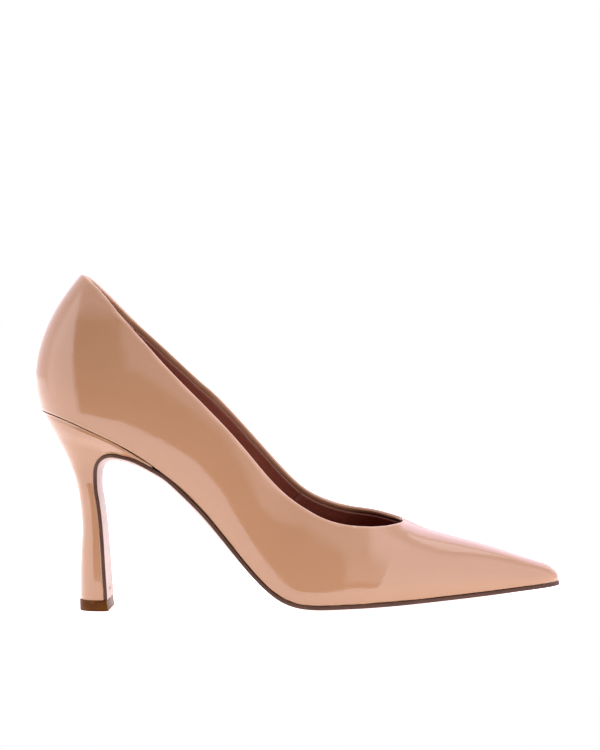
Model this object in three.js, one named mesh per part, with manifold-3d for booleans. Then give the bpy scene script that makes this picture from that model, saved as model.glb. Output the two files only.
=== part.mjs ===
// High heel pump, right foot: pointed closed toe, slim covered heel, sole wrapped down the heel breast.
// Millimetres, +Z up, +X toward the toe, -Y the lateral (outer) side. The finished group is moved so
// that the middle of its bounding box stands on the origin.
import * as THREE from 'three';
import Module from 'manifold-3d';

const wasm = await Module();
wasm.setup();

// ---------------------------------------------------------------------------------------------
// Driving dimensions (mm)
// ---------------------------------------------------------------------------------------------
const SOLE_LENGTH = 232.3;        // heel back to toe tip along X, on the sole edge
const SEAT_HEIGHT = 89.1;         // rise of the heel seat above the ball of the sole
const TOE_SPRING = 3.9;           // lift of the toe tip above the sole edge at the ball
const TREAD_CROWN = 1.3;          // roundness of the forepart across its width
const SEAT_HALF_WIDTH = 24.0;     // sole edge at the heel seat
const WAIST_LATERAL = 18.6;       // sole edge at the waist, outer side
const WAIST_MEDIAL = 15.8;        // sole edge at the waist, inner side
const BALL_LATERAL = 34.6;        // sole edge at the ball, outer side
const BALL_MEDIAL = 36.4;         // sole edge at the ball, inner side
const TOE_HALF_WIDTH = 6.0;       // pointed toe just behind its rounding
const SEAT_ROUND = 32;            // length over which the heel end of the sole rounds off
const TOE_ROUND = 9;              // length over which the toe rounds off
const BACK_HEIGHT = 75.7;         // seat to the crown of the last at the heel
const INSTEP_HEIGHT = 34.6;       // sole to the crown of the last at the waist

const UPPER_THICKNESS = 0.95;     // upper leather
const FOLD_THICKNESS = 0.75;      // second ply of the turned top edge
const FOLD_WIDTH = 5.0;           // width of the turned top edge
const STIFFENER_THICKNESS = 0.7;  // heel counter and toe puff
const LINING_THICKNESS = 0.7;
const LINING_DROP = 2.2;          // lining edge below the top edge of the upper
const PLY_GAP = 0.25;             // clearance between neighbouring plies
const SOLE_GAP = 0.4;             // clearance between the upper's margin and the outsole or heel
const SEAM_GAP = 0.3;             // clearance between pieces that butt at a seam
const MARGIN_WIDTH = 11.0;        // lasting margin turned under the insole
const BOARD_INSET = 4.5;          // insole board inside the feather line
const OUTSOLE_THICKNESS = 1.5;
const INSOLE_THICKNESS = 2.0;
const FOAM_THICKNESS = 1.0;
const SOCK_THICKNESS = 0.7;
const FILLER_THICKNESS = 1.4;

const SHANK_WIDTH = 10.0;
const SHANK_THICKNESS = 1.2;
const SHANK_BACK = 0.14;          // stations of the shank's ends along the sole
const SHANK_FRONT = 0.49;
const RIVET_DIAMETER = 2.4;
const RIVET_HEAD = 4.4;
const RIVET_FOOT = 0.4;           // lower head, under the shank

const LIFT_THICKNESS = 5.0;       // top lift
const LIFT_OVERHANG = 0.35;
const SOLE_OVERHANG = 0.3;        // sole edge past the feather line
const NECK_HALF_WIDTH = 9.6;      // heel at its slimmest
const NECK_FRONT = 24.1;          // breast at the neck, from the heel back of the seat
const TIP_HALF_WIDTH = 11.0;      // heel where it meets the top lift
const COVER_THICKNESS = 0.8;      // leather over the heel
const TUBE_OUTER = 4.0;           // steel tube in the heel
const TUBE_WALL = 0.6;
const TUBE_LENGTH = 52.0;
const PIN_DIAMETER = 2.2;         // pin of the top lift, held in the tube
const PIN_LENGTH = 14.0;
const BORE_CLEARANCE = 0.3;       // round every fastener, on the radius
const NAIL_DIAMETER = 1.6;
const NAIL_HEAD = 4.2;
const NAIL_LENGTH = 13.0;
const SCREW_DIAMETER = 3.6;
const SCREW_HEAD = 7.0;
const SCREW_LENGTH = 13.0;
const HEAD_THICKNESS = 0.7;
const TACK_DIAMETER = 1.3;
const TACK_LENGTH = 3.5;

// Stations along the sole, as fractions of its length
const THROAT = 0.640;             // where the vamp begins
const THROAT_START = 0.44;        // where the topline starts to turn in
const MEDIAL_SEAM = 0.230;
const GRIP_END = 0.088;           // heel grip lining meets the quarter linings
const VAMP_LINING_START = 0.406;
const COUNTER_END = 0.19;
const PUFF_START = 0.86;
const WING_END = 0.222;           // the heel's wings run out under the waist here

// ---------------------------------------------------------------------------------------------
// Small mathematics
// ---------------------------------------------------------------------------------------------
const V = (x, y, z) => new THREE.Vector3(x, y, z);
const clamp = (x, a, b) => Math.min(Math.max(x, a), b);
const mix = (a, b, t) => a + (b - a) * t;
const step = (a, b, x) => {
  const t = clamp((x - a) / (b - a), 0, 1);
  return t * t * (3 - 2 * t);
};

// Natural cubic spline through [abscissa, value] pairs.
function spline(points) {
  const n = points.length;
  const m = new Array(n).fill(0);
  const c = new Array(n).fill(0);
  const d = new Array(n).fill(0);
  for (let i = 1; i < n - 1; i++) {
    const h0 = points[i][0] - points[i - 1][0];
    const h1 = points[i + 1][0] - points[i][0];
    const slope1 = (points[i + 1][1] - points[i][1]) / h1;
    const slope0 = (points[i][1] - points[i - 1][1]) / h0;
    const pivot = 2 * (h0 + h1) - h0 * c[i - 1];
    c[i] = h1 / pivot;
    d[i] = (6 * (slope1 - slope0) - h0 * d[i - 1]) / pivot;
  }
  for (let i = n - 2; i > 0; i--) m[i] = d[i] - c[i] * m[i + 1];
  return (x) => {
    let i = 0;
    while (i < n - 2 && x > points[i + 1][0]) i++;
    const h = points[i + 1][0] - points[i][0];
    const a = (points[i + 1][0] - x) / h;
    const b = 1 - a;
    const bend = ((a * a * a - a) * m[i] + (b * b * b - b) * m[i + 1]) * h * h / 6;
    return a * points[i][1] + b * points[i + 1][1] + bend;
  };
}

// ---------------------------------------------------------------------------------------------
// The sole's side view and outline, by station u (0 heel back, 1 toe tip)
// ---------------------------------------------------------------------------------------------
const SOLE_BASE = OUTSOLE_THICKNESS + SOLE_GAP + TREAD_CROWN;

const RISE = spline([
  [0, 1], [0.0512, 0.959], [0.1196, 0.876], [0.188, 0.776], [0.256, 0.637], [0.3306, 0.431],
  [0.4046, 0.189], [0.4417, 0.088], [0.4795, 0.025], [0.53, 0], [0.62, 0], [1, 0],
]);

function soleHeight(x) {
  const u = x / SOLE_LENGTH;
  const rise = u < 0.56 ? Math.max(0, RISE(Math.max(u, 0)) - 0.9 * Math.min(u, 0)) : 0;
  const spring = u > 0.62 ? Math.pow((u - 0.62) / 0.38, 1.7) : 0;
  return SOLE_BASE + rise * SEAT_HEIGHT + spring * TOE_SPRING;
}

function soleNormal(x) {
  const slope = (soleHeight(x + 0.5) - soleHeight(x - 0.5));
  return V(-slope, 0, 1).normalize();
}

const OUTLINE = {
  '-1': spline([
    [0, SEAT_HALF_WIDTH - 0.5], [0.097, SEAT_HALF_WIDTH], [0.183, SEAT_HALF_WIDTH - 1.7],
    [0.269, WAIST_LATERAL + 0.8], [0.325, WAIST_LATERAL], [0.398, WAIST_LATERAL + 4.2],
    [0.484, BALL_LATERAL - 3], [0.549, BALL_LATERAL], [0.613, BALL_LATERAL - 1.2],
    [0.678, BALL_LATERAL * 0.86], [0.743, BALL_LATERAL * 0.71], [0.807, BALL_LATERAL * 0.57],
    [0.872, TOE_HALF_WIDTH + 8.8], [0.936, TOE_HALF_WIDTH + 4.2], [1, TOE_HALF_WIDTH],
  ]),
  '1': spline([
    [0, SEAT_HALF_WIDTH - 0.5], [0.097, SEAT_HALF_WIDTH], [0.183, SEAT_HALF_WIDTH - 2.2],
    [0.269, WAIST_MEDIAL + 1.6], [0.325, WAIST_MEDIAL], [0.398, WAIST_MEDIAL + 2.6],
    [0.484, BALL_MEDIAL - 7.8], [0.549, BALL_MEDIAL - 2], [0.613, BALL_MEDIAL],
    [0.678, BALL_MEDIAL * 0.94], [0.743, BALL_MEDIAL * 0.80], [0.807, BALL_MEDIAL * 0.64],
    [0.872, TOE_HALF_WIDTH + 11.2], [0.936, TOE_HALF_WIDTH + 5.2], [1, TOE_HALF_WIDTH],
  ]),
};
const HEEL_ROUNDING = SEAT_ROUND / SOLE_LENGTH;
const TOE_ROUNDING = TOE_ROUND / SOLE_LENGTH;

function endFactor(u) {
  const back = clamp(1 - u / HEEL_ROUNDING, 0, 1);
  const front = clamp((u - 1 + TOE_ROUNDING) / TOE_ROUNDING, 0, 1);
  return Math.max(0, (1 - Math.pow(back, 2.5)) * (1 - Math.pow(front, 2.5)));
}

function halfWidth(side, u) {
  return OUTLINE[side](clamp(u, 0, 1)) * Math.sqrt(endFactor(u));
}

// Convexity of the bottom across its width: rounded at the waist and the seat, flat at the tread.
const CROWN = spline([[0, 1.2], [0.1, 2.4], [0.2, 3.0], [0.3, 3.1], [0.4, 2.4],
  [0.48, TREAD_CROWN + 0.2], [0.55, TREAD_CROWN], [0.7, TREAD_CROWN * 0.8], [0.9, 0.4], [1, 0.1]]);

// A point of the bottom surface at (x, y), raised by w square to it.
function bottomPoint(x, y, w) {
  const u = clamp(x / SOLE_LENGTH, 0, 1);
  const side = y < 0 ? -1 : 1;
  const crown = Math.max(0, CROWN(u)) * Math.max(0, endFactor(u) - (y / OUTLINE[side](u)) ** 2);
  return V(x, y, soleHeight(x)).addScaledVector(soleNormal(x), w - crown);
}

// ---------------------------------------------------------------------------------------------
// The last: ribs from the feather line (sole edge) up and over to its crown.
// A rib is a cubic curve at parameter s (u = (1 - cos(pi s)) / 2), t runs 0 at the sole to 1.
// ---------------------------------------------------------------------------------------------
const CREST_X = spline([[0, 40.5], [0.054, 36], [0.118, 33], [0.218, 31.5], [0.293, 32.5],
  [0.367, 35], [0.404, 35.5], [0.44, 35], [0.517, 30], [0.569, 23.5], [0.671, 11.5],
  [0.805, 2.5], [0.878, -0.5], [0.955, -4], [1, -6.8]]);
const CREST_Z = spline([[0, 1], [0.054, 0.9], [0.118, 0.78], [0.218, 0.585]]);
const INSTEP_Z = spline([[0.218, 1.28], [0.293, 1.04], [0.367, 1.02], [0.404, 1.15], [0.44, 1.28],
  [0.517, 1.25], [0.569, 1.14], [0.671, 0.915], [0.805, 0.665], [0.878, 0.515], [0.955, 0.33],
  [1, 0.232]]);
const SWELL = spline([[0, 20.7], [0.02, 18.2], [0.06, 13.5], [0.118, 11], [0.25, 10.5], [0.35, 10.8],
  [0.42, 9], [0.49, 5.6], [0.56, 4], [0.64, 4], [0.72, 4.6], [0.8, 4.6], [0.87, 4.2], [0.95, 3.7],
  [1, 3.1]]);
const CHEEK = spline([[0, 36.7], [0.03, 32.5], [0.1, 27.5], [0.2, 27], [0.3, 27.5], [0.4, 28],
  [0.5, 27.5], [0.6, 25.5], [0.7, 21.5], [0.8, 16.5], [0.9, 11], [1, 4.7]]);
const MEDIAL_CHEEK = spline([[0, 0], [0.3, 0], [0.4, 2.2], [0.5, 5.2], [0.6, 4.2], [0.7, 2], [0.8, 0.6],
  [0.9, 0], [1, 0]]);
// Share of the rib cut away above the topline.
const OPENING = {
  '-1': spline([[0, 0.234], [0.01, 0.243], [0.02, 0.26], [0.04, 0.298], [0.06, 0.342],
    [0.09, 0.402], [0.118, 0.438], [0.16, 0.468], [0.218, 0.478], [0.26, 0.474], [0.3, 0.455],
    [0.34, 0.42], [0.38, 0.4], [0.41, 0.398], [0.44, 0.405], [0.47, 0.414], [0.5, 0.412],
    [0.54, 0.404], [0.58, 0.38], [0.64, 0.3]]),
  '1': spline([[0, 0.234], [0.01, 0.25], [0.02, 0.274], [0.04, 0.32], [0.06, 0.364], [0.09, 0.416],
    [0.118, 0.443], [0.16, 0.457], [0.218, 0.453], [0.26, 0.441], [0.3, 0.414], [0.34, 0.377],
    [0.38, 0.344], [0.41, 0.33], [0.44, 0.329], [0.47, 0.334], [0.5, 0.334], [0.54, 0.329],
    [0.58, 0.31], [0.64, 0.27]]),
};

const station = (s) => (1 - Math.cos(Math.PI * s)) / 2;
const stationParameter = (u) => Math.acos(clamp(1 - 2 * u, -1, 1)) / Math.PI;

function crest(u) {
  const low = INSTEP_Z(Math.max(u, 0.218)) * INSTEP_HEIGHT;
  const high = CREST_Z(Math.min(u, 0.218)) * BACK_HEIGHT;
  const dz = mix(high, low, step(0.13, 0.3, u));
  const x = u * SOLE_LENGTH;
  return V(x + CREST_X(u), 0, soleHeight(x) + dz);
}

// The feather line, where the upper turns under. The crown is zero there by construction.
function featherEdge(side, s) {
  const u = station(s);
  const x = u * SOLE_LENGTH;
  const y = s <= 0 || s >= 1 ? 0 : side * halfWidth(side, u);
  return V(x, y, soleHeight(x));
}

function outward(side, s) {
  if (s <= 0) return V(-1, 0, 0);
  if (s >= 1) return V(1, 0, 0);
  const e = 1e-3;
  const a = featherEdge(side, Math.max(0, s - e));
  const b = featherEdge(side, Math.min(1, s + e));
  return V(-side * (b.y - a.y), side * (b.x - a.x), 0).normalize();
}

const HEEL_LEAN = V(0.872, 0, 0.49);

function rib(side, s) {
  const u = station(s);
  const base = featherEdge(side, s);
  const top = crest(u);
  const e = 0.004;
  const ridge = crest(Math.min(1, u + e)).sub(crest(Math.max(0, u - e))).normalize();
  const along = HEEL_LEAN.clone().lerp(ridge, step(0.3, 0.6, u));
  const out = outward(side, s);
  const p1 = base.clone().lerp(top, 0.3).setY(base.y).addScaledVector(out, SWELL(u));
  const cheek = CHEEK(u) + (side > 0 ? MEDIAL_CHEEK(u) : 0);
  const p2 = top.clone().addScaledVector(along, out.x * cheek);
  p2.y += out.y * cheek;
  return [base, p1, p2, top];
}

function ribPoint(curve, t) {
  const a = 1 - t;
  const point = V(0, 0, 0);
  point.addScaledVector(curve[0], a * a * a);
  point.addScaledVector(curve[1], 3 * a * a * t);
  point.addScaledVector(curve[2], 3 * a * t * t);
  point.addScaledVector(curve[3], t * t * t);
  return point;
}

function ribLength(curve, t) {
  let length = 0;
  let last = curve[0];
  for (let i = 1; i <= 12; i++) {
    const next = ribPoint(curve, t * i / 12);
    length += next.distanceTo(last);
    last = next;
  }
  return length;
}

// Outward normal of the last at (s, t).
function lastNormal(side, s, t) {
  const e = 2e-3;
  const s0 = Math.max(0, s - e);
  const s1 = Math.min(1, s + e);
  const t0 = Math.max(0, t - e);
  const t1 = Math.min(1, t + e);
  const ds = ribPoint(rib(side, s1), t).sub(ribPoint(rib(side, s0), t));
  const dt = ribPoint(rib(side, s), t1).sub(ribPoint(rib(side, s), t0));
  const n = ds.cross(dt).multiplyScalar(-side);
  if (s <= 0 || s >= 1 || t >= 1) n.y = 0;
  return n.normalize();
}

// Where the topline cuts the rib at station u; inset moves the cut down into the shoe.
function topCut(side, u, inset, length) {
  const end = THROAT + inset / SOLE_LENGTH;
  if (u >= end) return 1;
  const base = OPENING[side](Math.min(u, 0.64)) + inset / length;
  const run = clamp((u - THROAT_START) / (end - THROAT_START), 0, 1);
  const close = Math.sqrt(Math.max(0, 1 - Math.pow(run, 2.2)));
  return 1 - base * close;
}

// ---------------------------------------------------------------------------------------------
// Meshes
// ---------------------------------------------------------------------------------------------
class Solid {
  constructor() {
    this.points = [];
    this.ids = new Map();
    this.faces = [];
  }

  vertex(p) {
    const key = [p.x, p.y, p.z].map((c) => Math.round(c * 2e4)).join(',');
    if (!this.ids.has(key)) {
      this.ids.set(key, this.points.length);
      this.points.push(p.clone());
    }
    return this.ids.get(key);
  }

  triangle(a, b, c) {
    if (a !== b && b !== c && c !== a) this.faces.push([a, b, c]);
  }

  quad(a, b, c, d) {
    const p = this.points;
    if (p[a].distanceTo(p[c]) <= p[b].distanceTo(p[d])) {
      this.triangle(a, b, c);
      this.triangle(a, c, d);
    } else {
      this.triangle(a, b, d);
      this.triangle(b, c, d);
    }
  }

  // A grid of points, rows of equal length.
  grid(rows, flip = false) {
    const ids = rows.map((row) => row.map((p) => this.vertex(p)));
    for (let i = 0; i + 1 < ids.length; i++) {
      for (let j = 0; j + 1 < ids[i].length; j++) {
        const q = [ids[i][j], ids[i][j + 1], ids[i + 1][j + 1], ids[i + 1][j]];
        if (flip) q.reverse();
        this.quad(...q);
      }
    }
  }

  // Turn faces over until neighbours agree.
  unify() {
    const edges = new Map();
    this.faces.forEach((face, i) => {
      face.forEach((a, k) => {
        const b = face[(k + 1) % 3];
        const key = a < b ? `${a},${b}` : `${b},${a}`;
        if (!edges.has(key)) edges.set(key, []);
        edges.get(key).push(i);
      });
    });
    const seen = new Set([0]);
    const queue = [0];
    while (queue.length) {
      const face = this.faces[queue.pop()];
      face.forEach((a, k) => {
        const b = face[(k + 1) % 3];
        for (const j of edges.get(a < b ? `${a},${b}` : `${b},${a}`)) {
          if (seen.has(j)) continue;
          const other = this.faces[j];
          const same = other.some((c, m) => c === a && other[(m + 1) % 3] === b);
          if (same) other.reverse();
          seen.add(j);
          queue.push(j);
        }
      });
    }
    return this;
  }

  geometry() {
    let volume = 0;
    const n = new THREE.Vector3();
    for (const [a, b, c] of this.faces) {
      n.crossVectors(this.points[b], this.points[c]);
      volume += n.dot(this.points[a]);
    }
    const index = this.faces.flatMap(([a, b, c]) => (volume > 0 ? [a, b, c] : [a, c, b]));
    const geometry = new THREE.BufferGeometry();
    const flat = this.points.flatMap((p) => [p.x, p.y, p.z]);
    geometry.setAttribute('position', new THREE.Float32BufferAttribute(flat, 3));
    geometry.setIndex(index);
    return geometry;
  }
}

// A sheet with thickness: cells are quads whose corners are [outer point, inner point] pairs.
function sheet(cells) {
  const solid = new Solid();
  const twin = new Map();
  const edges = new Map();
  const lookup = (pair) => {
    const a = solid.vertex(pair[0]);
    if (!twin.has(a)) {
      twin.set(a, pair[1]);
    }
    return a;
  };
  const outer = cells.map((cell) => cell.map(lookup));
  const shift = solid.points.length;
  for (let i = 0; i < shift; i++) solid.points.push(twin.get(i).clone());
  for (const cell of outer) {
    const ring = cell.filter((id, i) => id !== cell[(i + 1) % cell.length]);
    if (ring.length < 3) continue;
    for (let i = 0; i < ring.length; i++) {
      const a = ring[i];
      const b = ring[(i + 1) % ring.length];
      edges.set(`${a},${b}`, [a, b]);
    }
    if (ring.length === 4) {
      const p = solid.points;
      if (p[ring[0]].distanceTo(p[ring[2]]) > p[ring[1]].distanceTo(p[ring[3]])) {
        ring.push(ring.shift());
      }
    }
    for (let i = 1; i + 1 < ring.length; i++) {
      solid.triangle(ring[0], ring[i], ring[i + 1]);
      solid.triangle(shift + ring[0], shift + ring[i + 1], shift + ring[i]);
    }
  }
  for (const [a, b] of edges.values()) {
    if (edges.has(`${b},${a}`)) continue;
    solid.triangle(b, a, shift + a);
    solid.triangle(b, shift + a, shift + b);
  }
  return solid.geometry();
}

// Cells between neighbouring columns; a side of -1 turns them over so both halves agree.
function cellsOf(columns, side) {
  const cells = [];
  for (let i = 0; i + 1 < columns.length; i++) {
    for (let j = 0; j + 1 < columns[i].length; j++) {
      const cell = [columns[i][j], columns[i + 1][j], columns[i + 1][j + 1], columns[i][j + 1]];
      const corner = i === columns.length - 2 && j === columns[i].length - 2;
      const parts = corner ? [[cell[0], cell[1], cell[2]], [cell[0], cell[2], cell[3]]] : [cell];
      for (const part of parts) cells.push(side > 0 ? part : part.reverse());
    }
  }
  return cells;
}

// Stations for the columns of a ply between two ends, closer at the heel, the throat and the toe.
const COLUMNS = [0, 0.035, 0.07, 0.105, 0.14, 0.18, 0.22, 0.26, 0.3, 0.34, 0.37, 0.395, 0.417, 0.437,
  0.455, 0.473, 0.492, 0.512];

function columnStations(from, to, throat) {
  const end = stationParameter(throat);
  const a = stationParameter(from);
  const b = stationParameter(to);
  const last = COLUMNS[COLUMNS.length - 1];
  const list = [...COLUMNS];
  for (const f of [0.3, 0.56, 0.77, 0.92, 1]) list.push(mix(last, end, f));
  for (const f of [0.1, 0.22, 0.34, 0.46, 0.58, 0.69, 0.78, 0.86, 0.93, 1]) list.push(mix(end, 1, f));
  return [a, ...list.filter((s) => s > a + 0.009 && s < b - 0.009), b];
}

// ---------------------------------------------------------------------------------------------
// Plies of the upper
// ---------------------------------------------------------------------------------------------
const PUFF_DEPTH = UPPER_THICKNESS + PLY_GAP;
const FULL_DEPTH = PUFF_DEPTH + STIFFENER_THICKNESS + PLY_GAP;

// How far the lining stands inside the upper's face: deeper behind the counter, puff and fold.
function liningDepth(u, toEdge, height) {
  const counter = step(COUNTER_END + 0.05, COUNTER_END + 0.01, u) * step(47, 39, height);
  const puff = step(PUFF_START - 0.05, PUFF_START - 0.01, u);
  const fold = u < THROAT + 0.06 ? step(FOLD_WIDTH + 7, FOLD_WIDTH + 2, toEdge) : 0;
  return mix(PUFF_DEPTH, FULL_DEPTH, Math.max(counter, puff, fold));
}

function upperInner(u, toEdge) {
  const reach = u < THROAT ? 1 : step(THROAT + FOLD_WIDTH * 1.6 / SOLE_LENGTH, THROAT, u);
  return UPPER_THICKNESS + FOLD_THICKNESS * step(FOLD_WIDTH + 1.5, FOLD_WIDTH, toEdge) * reach;
}

const MARGIN_ROWS = [1, 0.66, 0.33];
const SIDE_ROWS = [0, 0.06, 0.16, 0.29, 0.43, 0.57, 0.71, 0.86];

// The point of a ply at depth (square to the last) on its side wall.
function wallPoint(side, s, t, depth) {
  const point = ribPoint(rib(side, s), t).addScaledVector(lastNormal(side, s, t), -depth);
  if (s <= 0 || s >= 1 || t >= 1) point.y = 0;
  return point;
}

// Inner end of the lasting margin that belongs to a feather station.
function marginEnd(side, s, width) {
  const u = station(s);
  const x = mix(width * 1.05, SOLE_LENGTH - width * 1.25, u);
  if (s <= 0 || s >= 1) return [x, 0];
  const inner = halfWidth(side, u) * (1 - width / (OUTLINE[side](u) + width * 0.35));
  return [x, side * Math.max(inner, 0.02)];
}

function ribSpeed(curve, t) {
  const a = Math.max(0, t - 0.01);
  const b = Math.min(1, t + 0.01);
  return ribPoint(curve, b).distanceTo(ribPoint(curve, a)) / (b - a);
}

// Where a ply turns the corner at the feather line: the point that is wall deep behind the wall's face
// and floor above the bottom's face, given as a rib parameter and a fraction of the way to the margin's end.
function featherCorner(side, s, curve, target, wall, floor) {
  const foot = curve[0];
  const e = 2e-3;
  const tangent = featherEdge(side, Math.min(1, s + e)).sub(featherEdge(side, Math.max(0, s - e)));
  if (s <= 0 || s >= 1) tangent.set(0, 1, 0);
  tangent.normalize();
  const flat = V(target.x - foot.x, target.y - foot.y, 0);
  const reach = flat.length();
  const near = bottomPoint(foot.x + flat.x * 0.6 / reach, foot.y + flat.y * 0.6 / reach, 0).sub(foot);
  const floorNormal = tangent.clone().cross(near).normalize();
  if (floorNormal.z < 0) floorNormal.negate();
  const wallNormal = lastNormal(side, s, 0.01);
  const up = ribPoint(curve, 0.02).sub(foot).normalize();
  const wallUp = wallNormal.clone().cross(tangent).normalize();
  if (wallUp.dot(up) < 0) wallUp.negate();
  const floorIn = floorNormal.clone().cross(tangent).normalize();
  if (floorIn.dot(near) < 0) floorIn.negate();
  const sole = soleNormal(foot.x);
  const height = floor * sole.dot(floorNormal);
  const rise = (height + wall * wallNormal.dot(floorNormal)) / Math.max(wallUp.dot(floorNormal), 0.3);
  const corner = wallUp.clone().multiplyScalar(rise).addScaledVector(wallNormal, -wall);
  const speed = near.clone().multiplyScalar(reach / 0.6).dot(floorIn);
  return {
    t: Math.max(rise, 0) / Math.max(up.dot(wallUp), 0.3) / ribSpeed(curve, 0.01),
    f: clamp((corner.dot(floorIn) - floor * sole.dot(floorIn)) / Math.max(speed, 1), 0, 0.7),
  };
}

// One face of a ply at a station: rows from the margin's inner end, round the feather line, up the
// wall to the topline or the ridge. face.wall gives the wall's depth, face.floor the margin's.
function plyColumn(side, s, o, face) {
  const u = station(s);
  const curve = rib(side, s);
  const cut = topCut(side, u, o.inset, ribLength(curve, 1));
  const length = ribLength(curve, cut);
  const foot = curve[0];
  const [mx, my] = marginEnd(side, s, MARGIN_WIDTH);
  const turn = featherCorner(side, s, curve, V(mx, my, 0), face.wall(u, length, 0), face.floor);
  const start = turn.t + o.lift / ribSpeed(curve, 0.01);
  const column = [];
  const floorPoint = (f) => {
    const p = bottomPoint(mix(foot.x, mx, f), mix(foot.y, my, f), face.floor);
    return s <= 0 || s >= 1 ? p.setY(0) : p;
  };
  if (o.margin) {
    for (const f of MARGIN_ROWS) column.push(floorPoint(mix(turn.f, 1, f)));
    column.push(floorPoint(turn.f).lerp(wallPoint(side, s, start, face.wall(u, length, 0)), 0.5));
  }
  const top = mix(start, cut, o.reach);
  const pace = ribSpeed(curve, top);
  const band = o.band.map((d) => top - Math.min(d / pace, (top - start) * 0.6 * d / o.band[0]));
  const rows = SIDE_ROWS.slice(o.margin ? 1 : 0).map((f) => mix(start, band[0], f));
  for (const t of [...rows, ...band, top]) {
    column.push(wallPoint(side, s, t, face.wall(u, (cut - t) * pace, t / cut * length)));
  }
  return column;
}

function plyColumns(side, from, to, o) {
  const throat = THROAT + o.inset / SOLE_LENGTH;
  return columnStations(from, to, throat).map((s) => {
    const outer = plyColumn(side, s, o, o.outer);
    const inner = plyColumn(side, s, o, o.inner);
    return outer.map((p, i) => [p, inner[i]]);
  });
}

const UPPER = {
  inset: 0,
  lift: 0,
  reach: 1,
  band: [FOLD_WIDTH + 1.5, FOLD_WIDTH * 0.6],
  margin: true,
  outer: { wall: () => 0, floor: 0 },
  inner: { wall: (u, d) => upperInner(u, d), floor: UPPER_THICKNESS },
};
const LINING = {
  inset: LINING_DROP,
  lift: 0,
  reach: 1,
  band: [6, 2.5],
  margin: true,
  outer: { wall: liningDepth, floor: PUFF_DEPTH },
  inner: {
    wall: (u, d, h) => liningDepth(u, d, h) + LINING_THICKNESS,
    floor: PUFF_DEPTH + LINING_THICKNESS,
  },
};

const seam = SEAM_GAP / 2 / SOLE_LENGTH;
const backSeam = 0.000002;

const nodes = [];
const put = (name, geometry, color, roughness, metalness = 0) => {
  nodes.push({ name, geometry, color, roughness, metalness });
};

put('upper_main', sheet([
  ...cellsOf(plyColumns(-1, backSeam, 1, UPPER), -1),
  ...cellsOf(plyColumns(1, MEDIAL_SEAM + seam, 1, UPPER), 1),
]), 0xd0a088, 0.12);
put('upper_medial_quarter', sheet(cellsOf(plyColumns(1, backSeam, MEDIAL_SEAM - seam, UPPER), 1)),
  0xd0a088, 0.12);
put('vamp_lining', sheet([
  ...cellsOf(plyColumns(-1, VAMP_LINING_START + seam, 1, LINING), -1),
  ...cellsOf(plyColumns(1, VAMP_LINING_START + seam, 1, LINING), 1),
]), 0x5a2a20, 0.7);
put('quarter_lining_lateral',
  sheet(cellsOf(plyColumns(-1, GRIP_END + seam, VAMP_LINING_START - seam, LINING), -1)), 0x5a2a20, 0.7);
put('quarter_lining_medial',
  sheet(cellsOf(plyColumns(1, GRIP_END + seam, VAMP_LINING_START - seam, LINING), 1)), 0x5a2a20, 0.7);
put('heel_grip', sheet([
  ...cellsOf(plyColumns(-1, 0, GRIP_END - seam, LINING), -1),
  ...cellsOf(plyColumns(1, 0, GRIP_END - seam, LINING), 1),
]), 0x6a3428, 0.9);

const COUNTER = {
  inset: 0,
  lift: 0.3,
  reach: 0.56,
  band: [4, 2],
  margin: false,
  outer: { wall: () => PUFF_DEPTH, floor: PUFF_DEPTH },
  inner: { wall: () => PUFF_DEPTH + STIFFENER_THICKNESS, floor: PUFF_DEPTH },
};
const PUFF = {
  ...COUNTER,
  reach: 1,
  inner: { wall: () => PUFF_DEPTH + STIFFENER_THICKNESS - 0.15, floor: PUFF_DEPTH },
};

put('heel_counter', sheet([
  ...cellsOf(plyColumns(-1, 0, COUNTER_END, COUNTER), -1),
  ...cellsOf(plyColumns(1, 0, COUNTER_END, COUNTER), 1),
]), 0xb9a88c, 0.9);
put('toe_puff', sheet([
  ...cellsOf(plyColumns(-1, PUFF_START, 1, PUFF), -1),
  ...cellsOf(plyColumns(1, PUFF_START, 1, PUFF), 1),
]), 0xcfc7b0, 0.9);

// ---------------------------------------------------------------------------------------------
// Levels of the bottom, square to the bottom surface
// ---------------------------------------------------------------------------------------------
const BOARD_LOW = PUFF_DEPTH + LINING_THICKNESS + PLY_GAP;
const BOARD_HIGH = BOARD_LOW + INSOLE_THICKNESS;
const FOAM_LOW = BOARD_HIGH + PLY_GAP;
const SOCK_LOW = FOAM_LOW + FOAM_THICKNESS + PLY_GAP;
const SHANK_LOW = RIVET_FOOT + PLY_GAP;
const HEAD_LOW = BOARD_HIGH - HEAD_THICKNESS - 0.15;

// ---------------------------------------------------------------------------------------------
// Solids from manifold-3d
// ---------------------------------------------------------------------------------------------
function solidOf(geometry) {
  const vertProperties = new Float32Array(geometry.getAttribute('position').array);
  const triVerts = new Uint32Array(geometry.index.array);
  return new wasm.Manifold(new wasm.Mesh({ numProp: 3, vertProperties, triVerts }));
}

function geometryOf(manifold) {
  const mesh = manifold.getMesh();
  const geometry = new THREE.BufferGeometry();
  geometry.setAttribute('position', new THREE.Float32BufferAttribute(mesh.vertProperties, 3));
  geometry.setIndex([...mesh.triVerts]);
  return geometry;
}

function drilled(geometry, tools) {
  let manifold = solidOf(geometry);
  for (const tool of tools) manifold = manifold.subtract(solidOf(tool));
  return geometryOf(manifold);
}

// A turned piece: [radius, height] profile from axis to axis (or a closed loop) about the Z axis.
function turned(profile, sides = 10) {
  const solid = new Solid();
  solid.grid(profile.map(([r, z]) => {
    const ring = [];
    for (let i = 0; i <= sides; i++) {
      const a = 2 * Math.PI * (i % sides) / sides;
      ring.push(V(r * Math.cos(a), r * Math.sin(a), z));
    }
    return ring;
  }));
  return solid.geometry();
}

function placed(geometry, at, axis) {
  const turn = new THREE.Quaternion().setFromUnitVectors(V(0, 0, 1), axis);
  return geometry.applyMatrix4(new THREE.Matrix4().compose(at, turn, V(1, 1, 1)));
}

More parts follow.
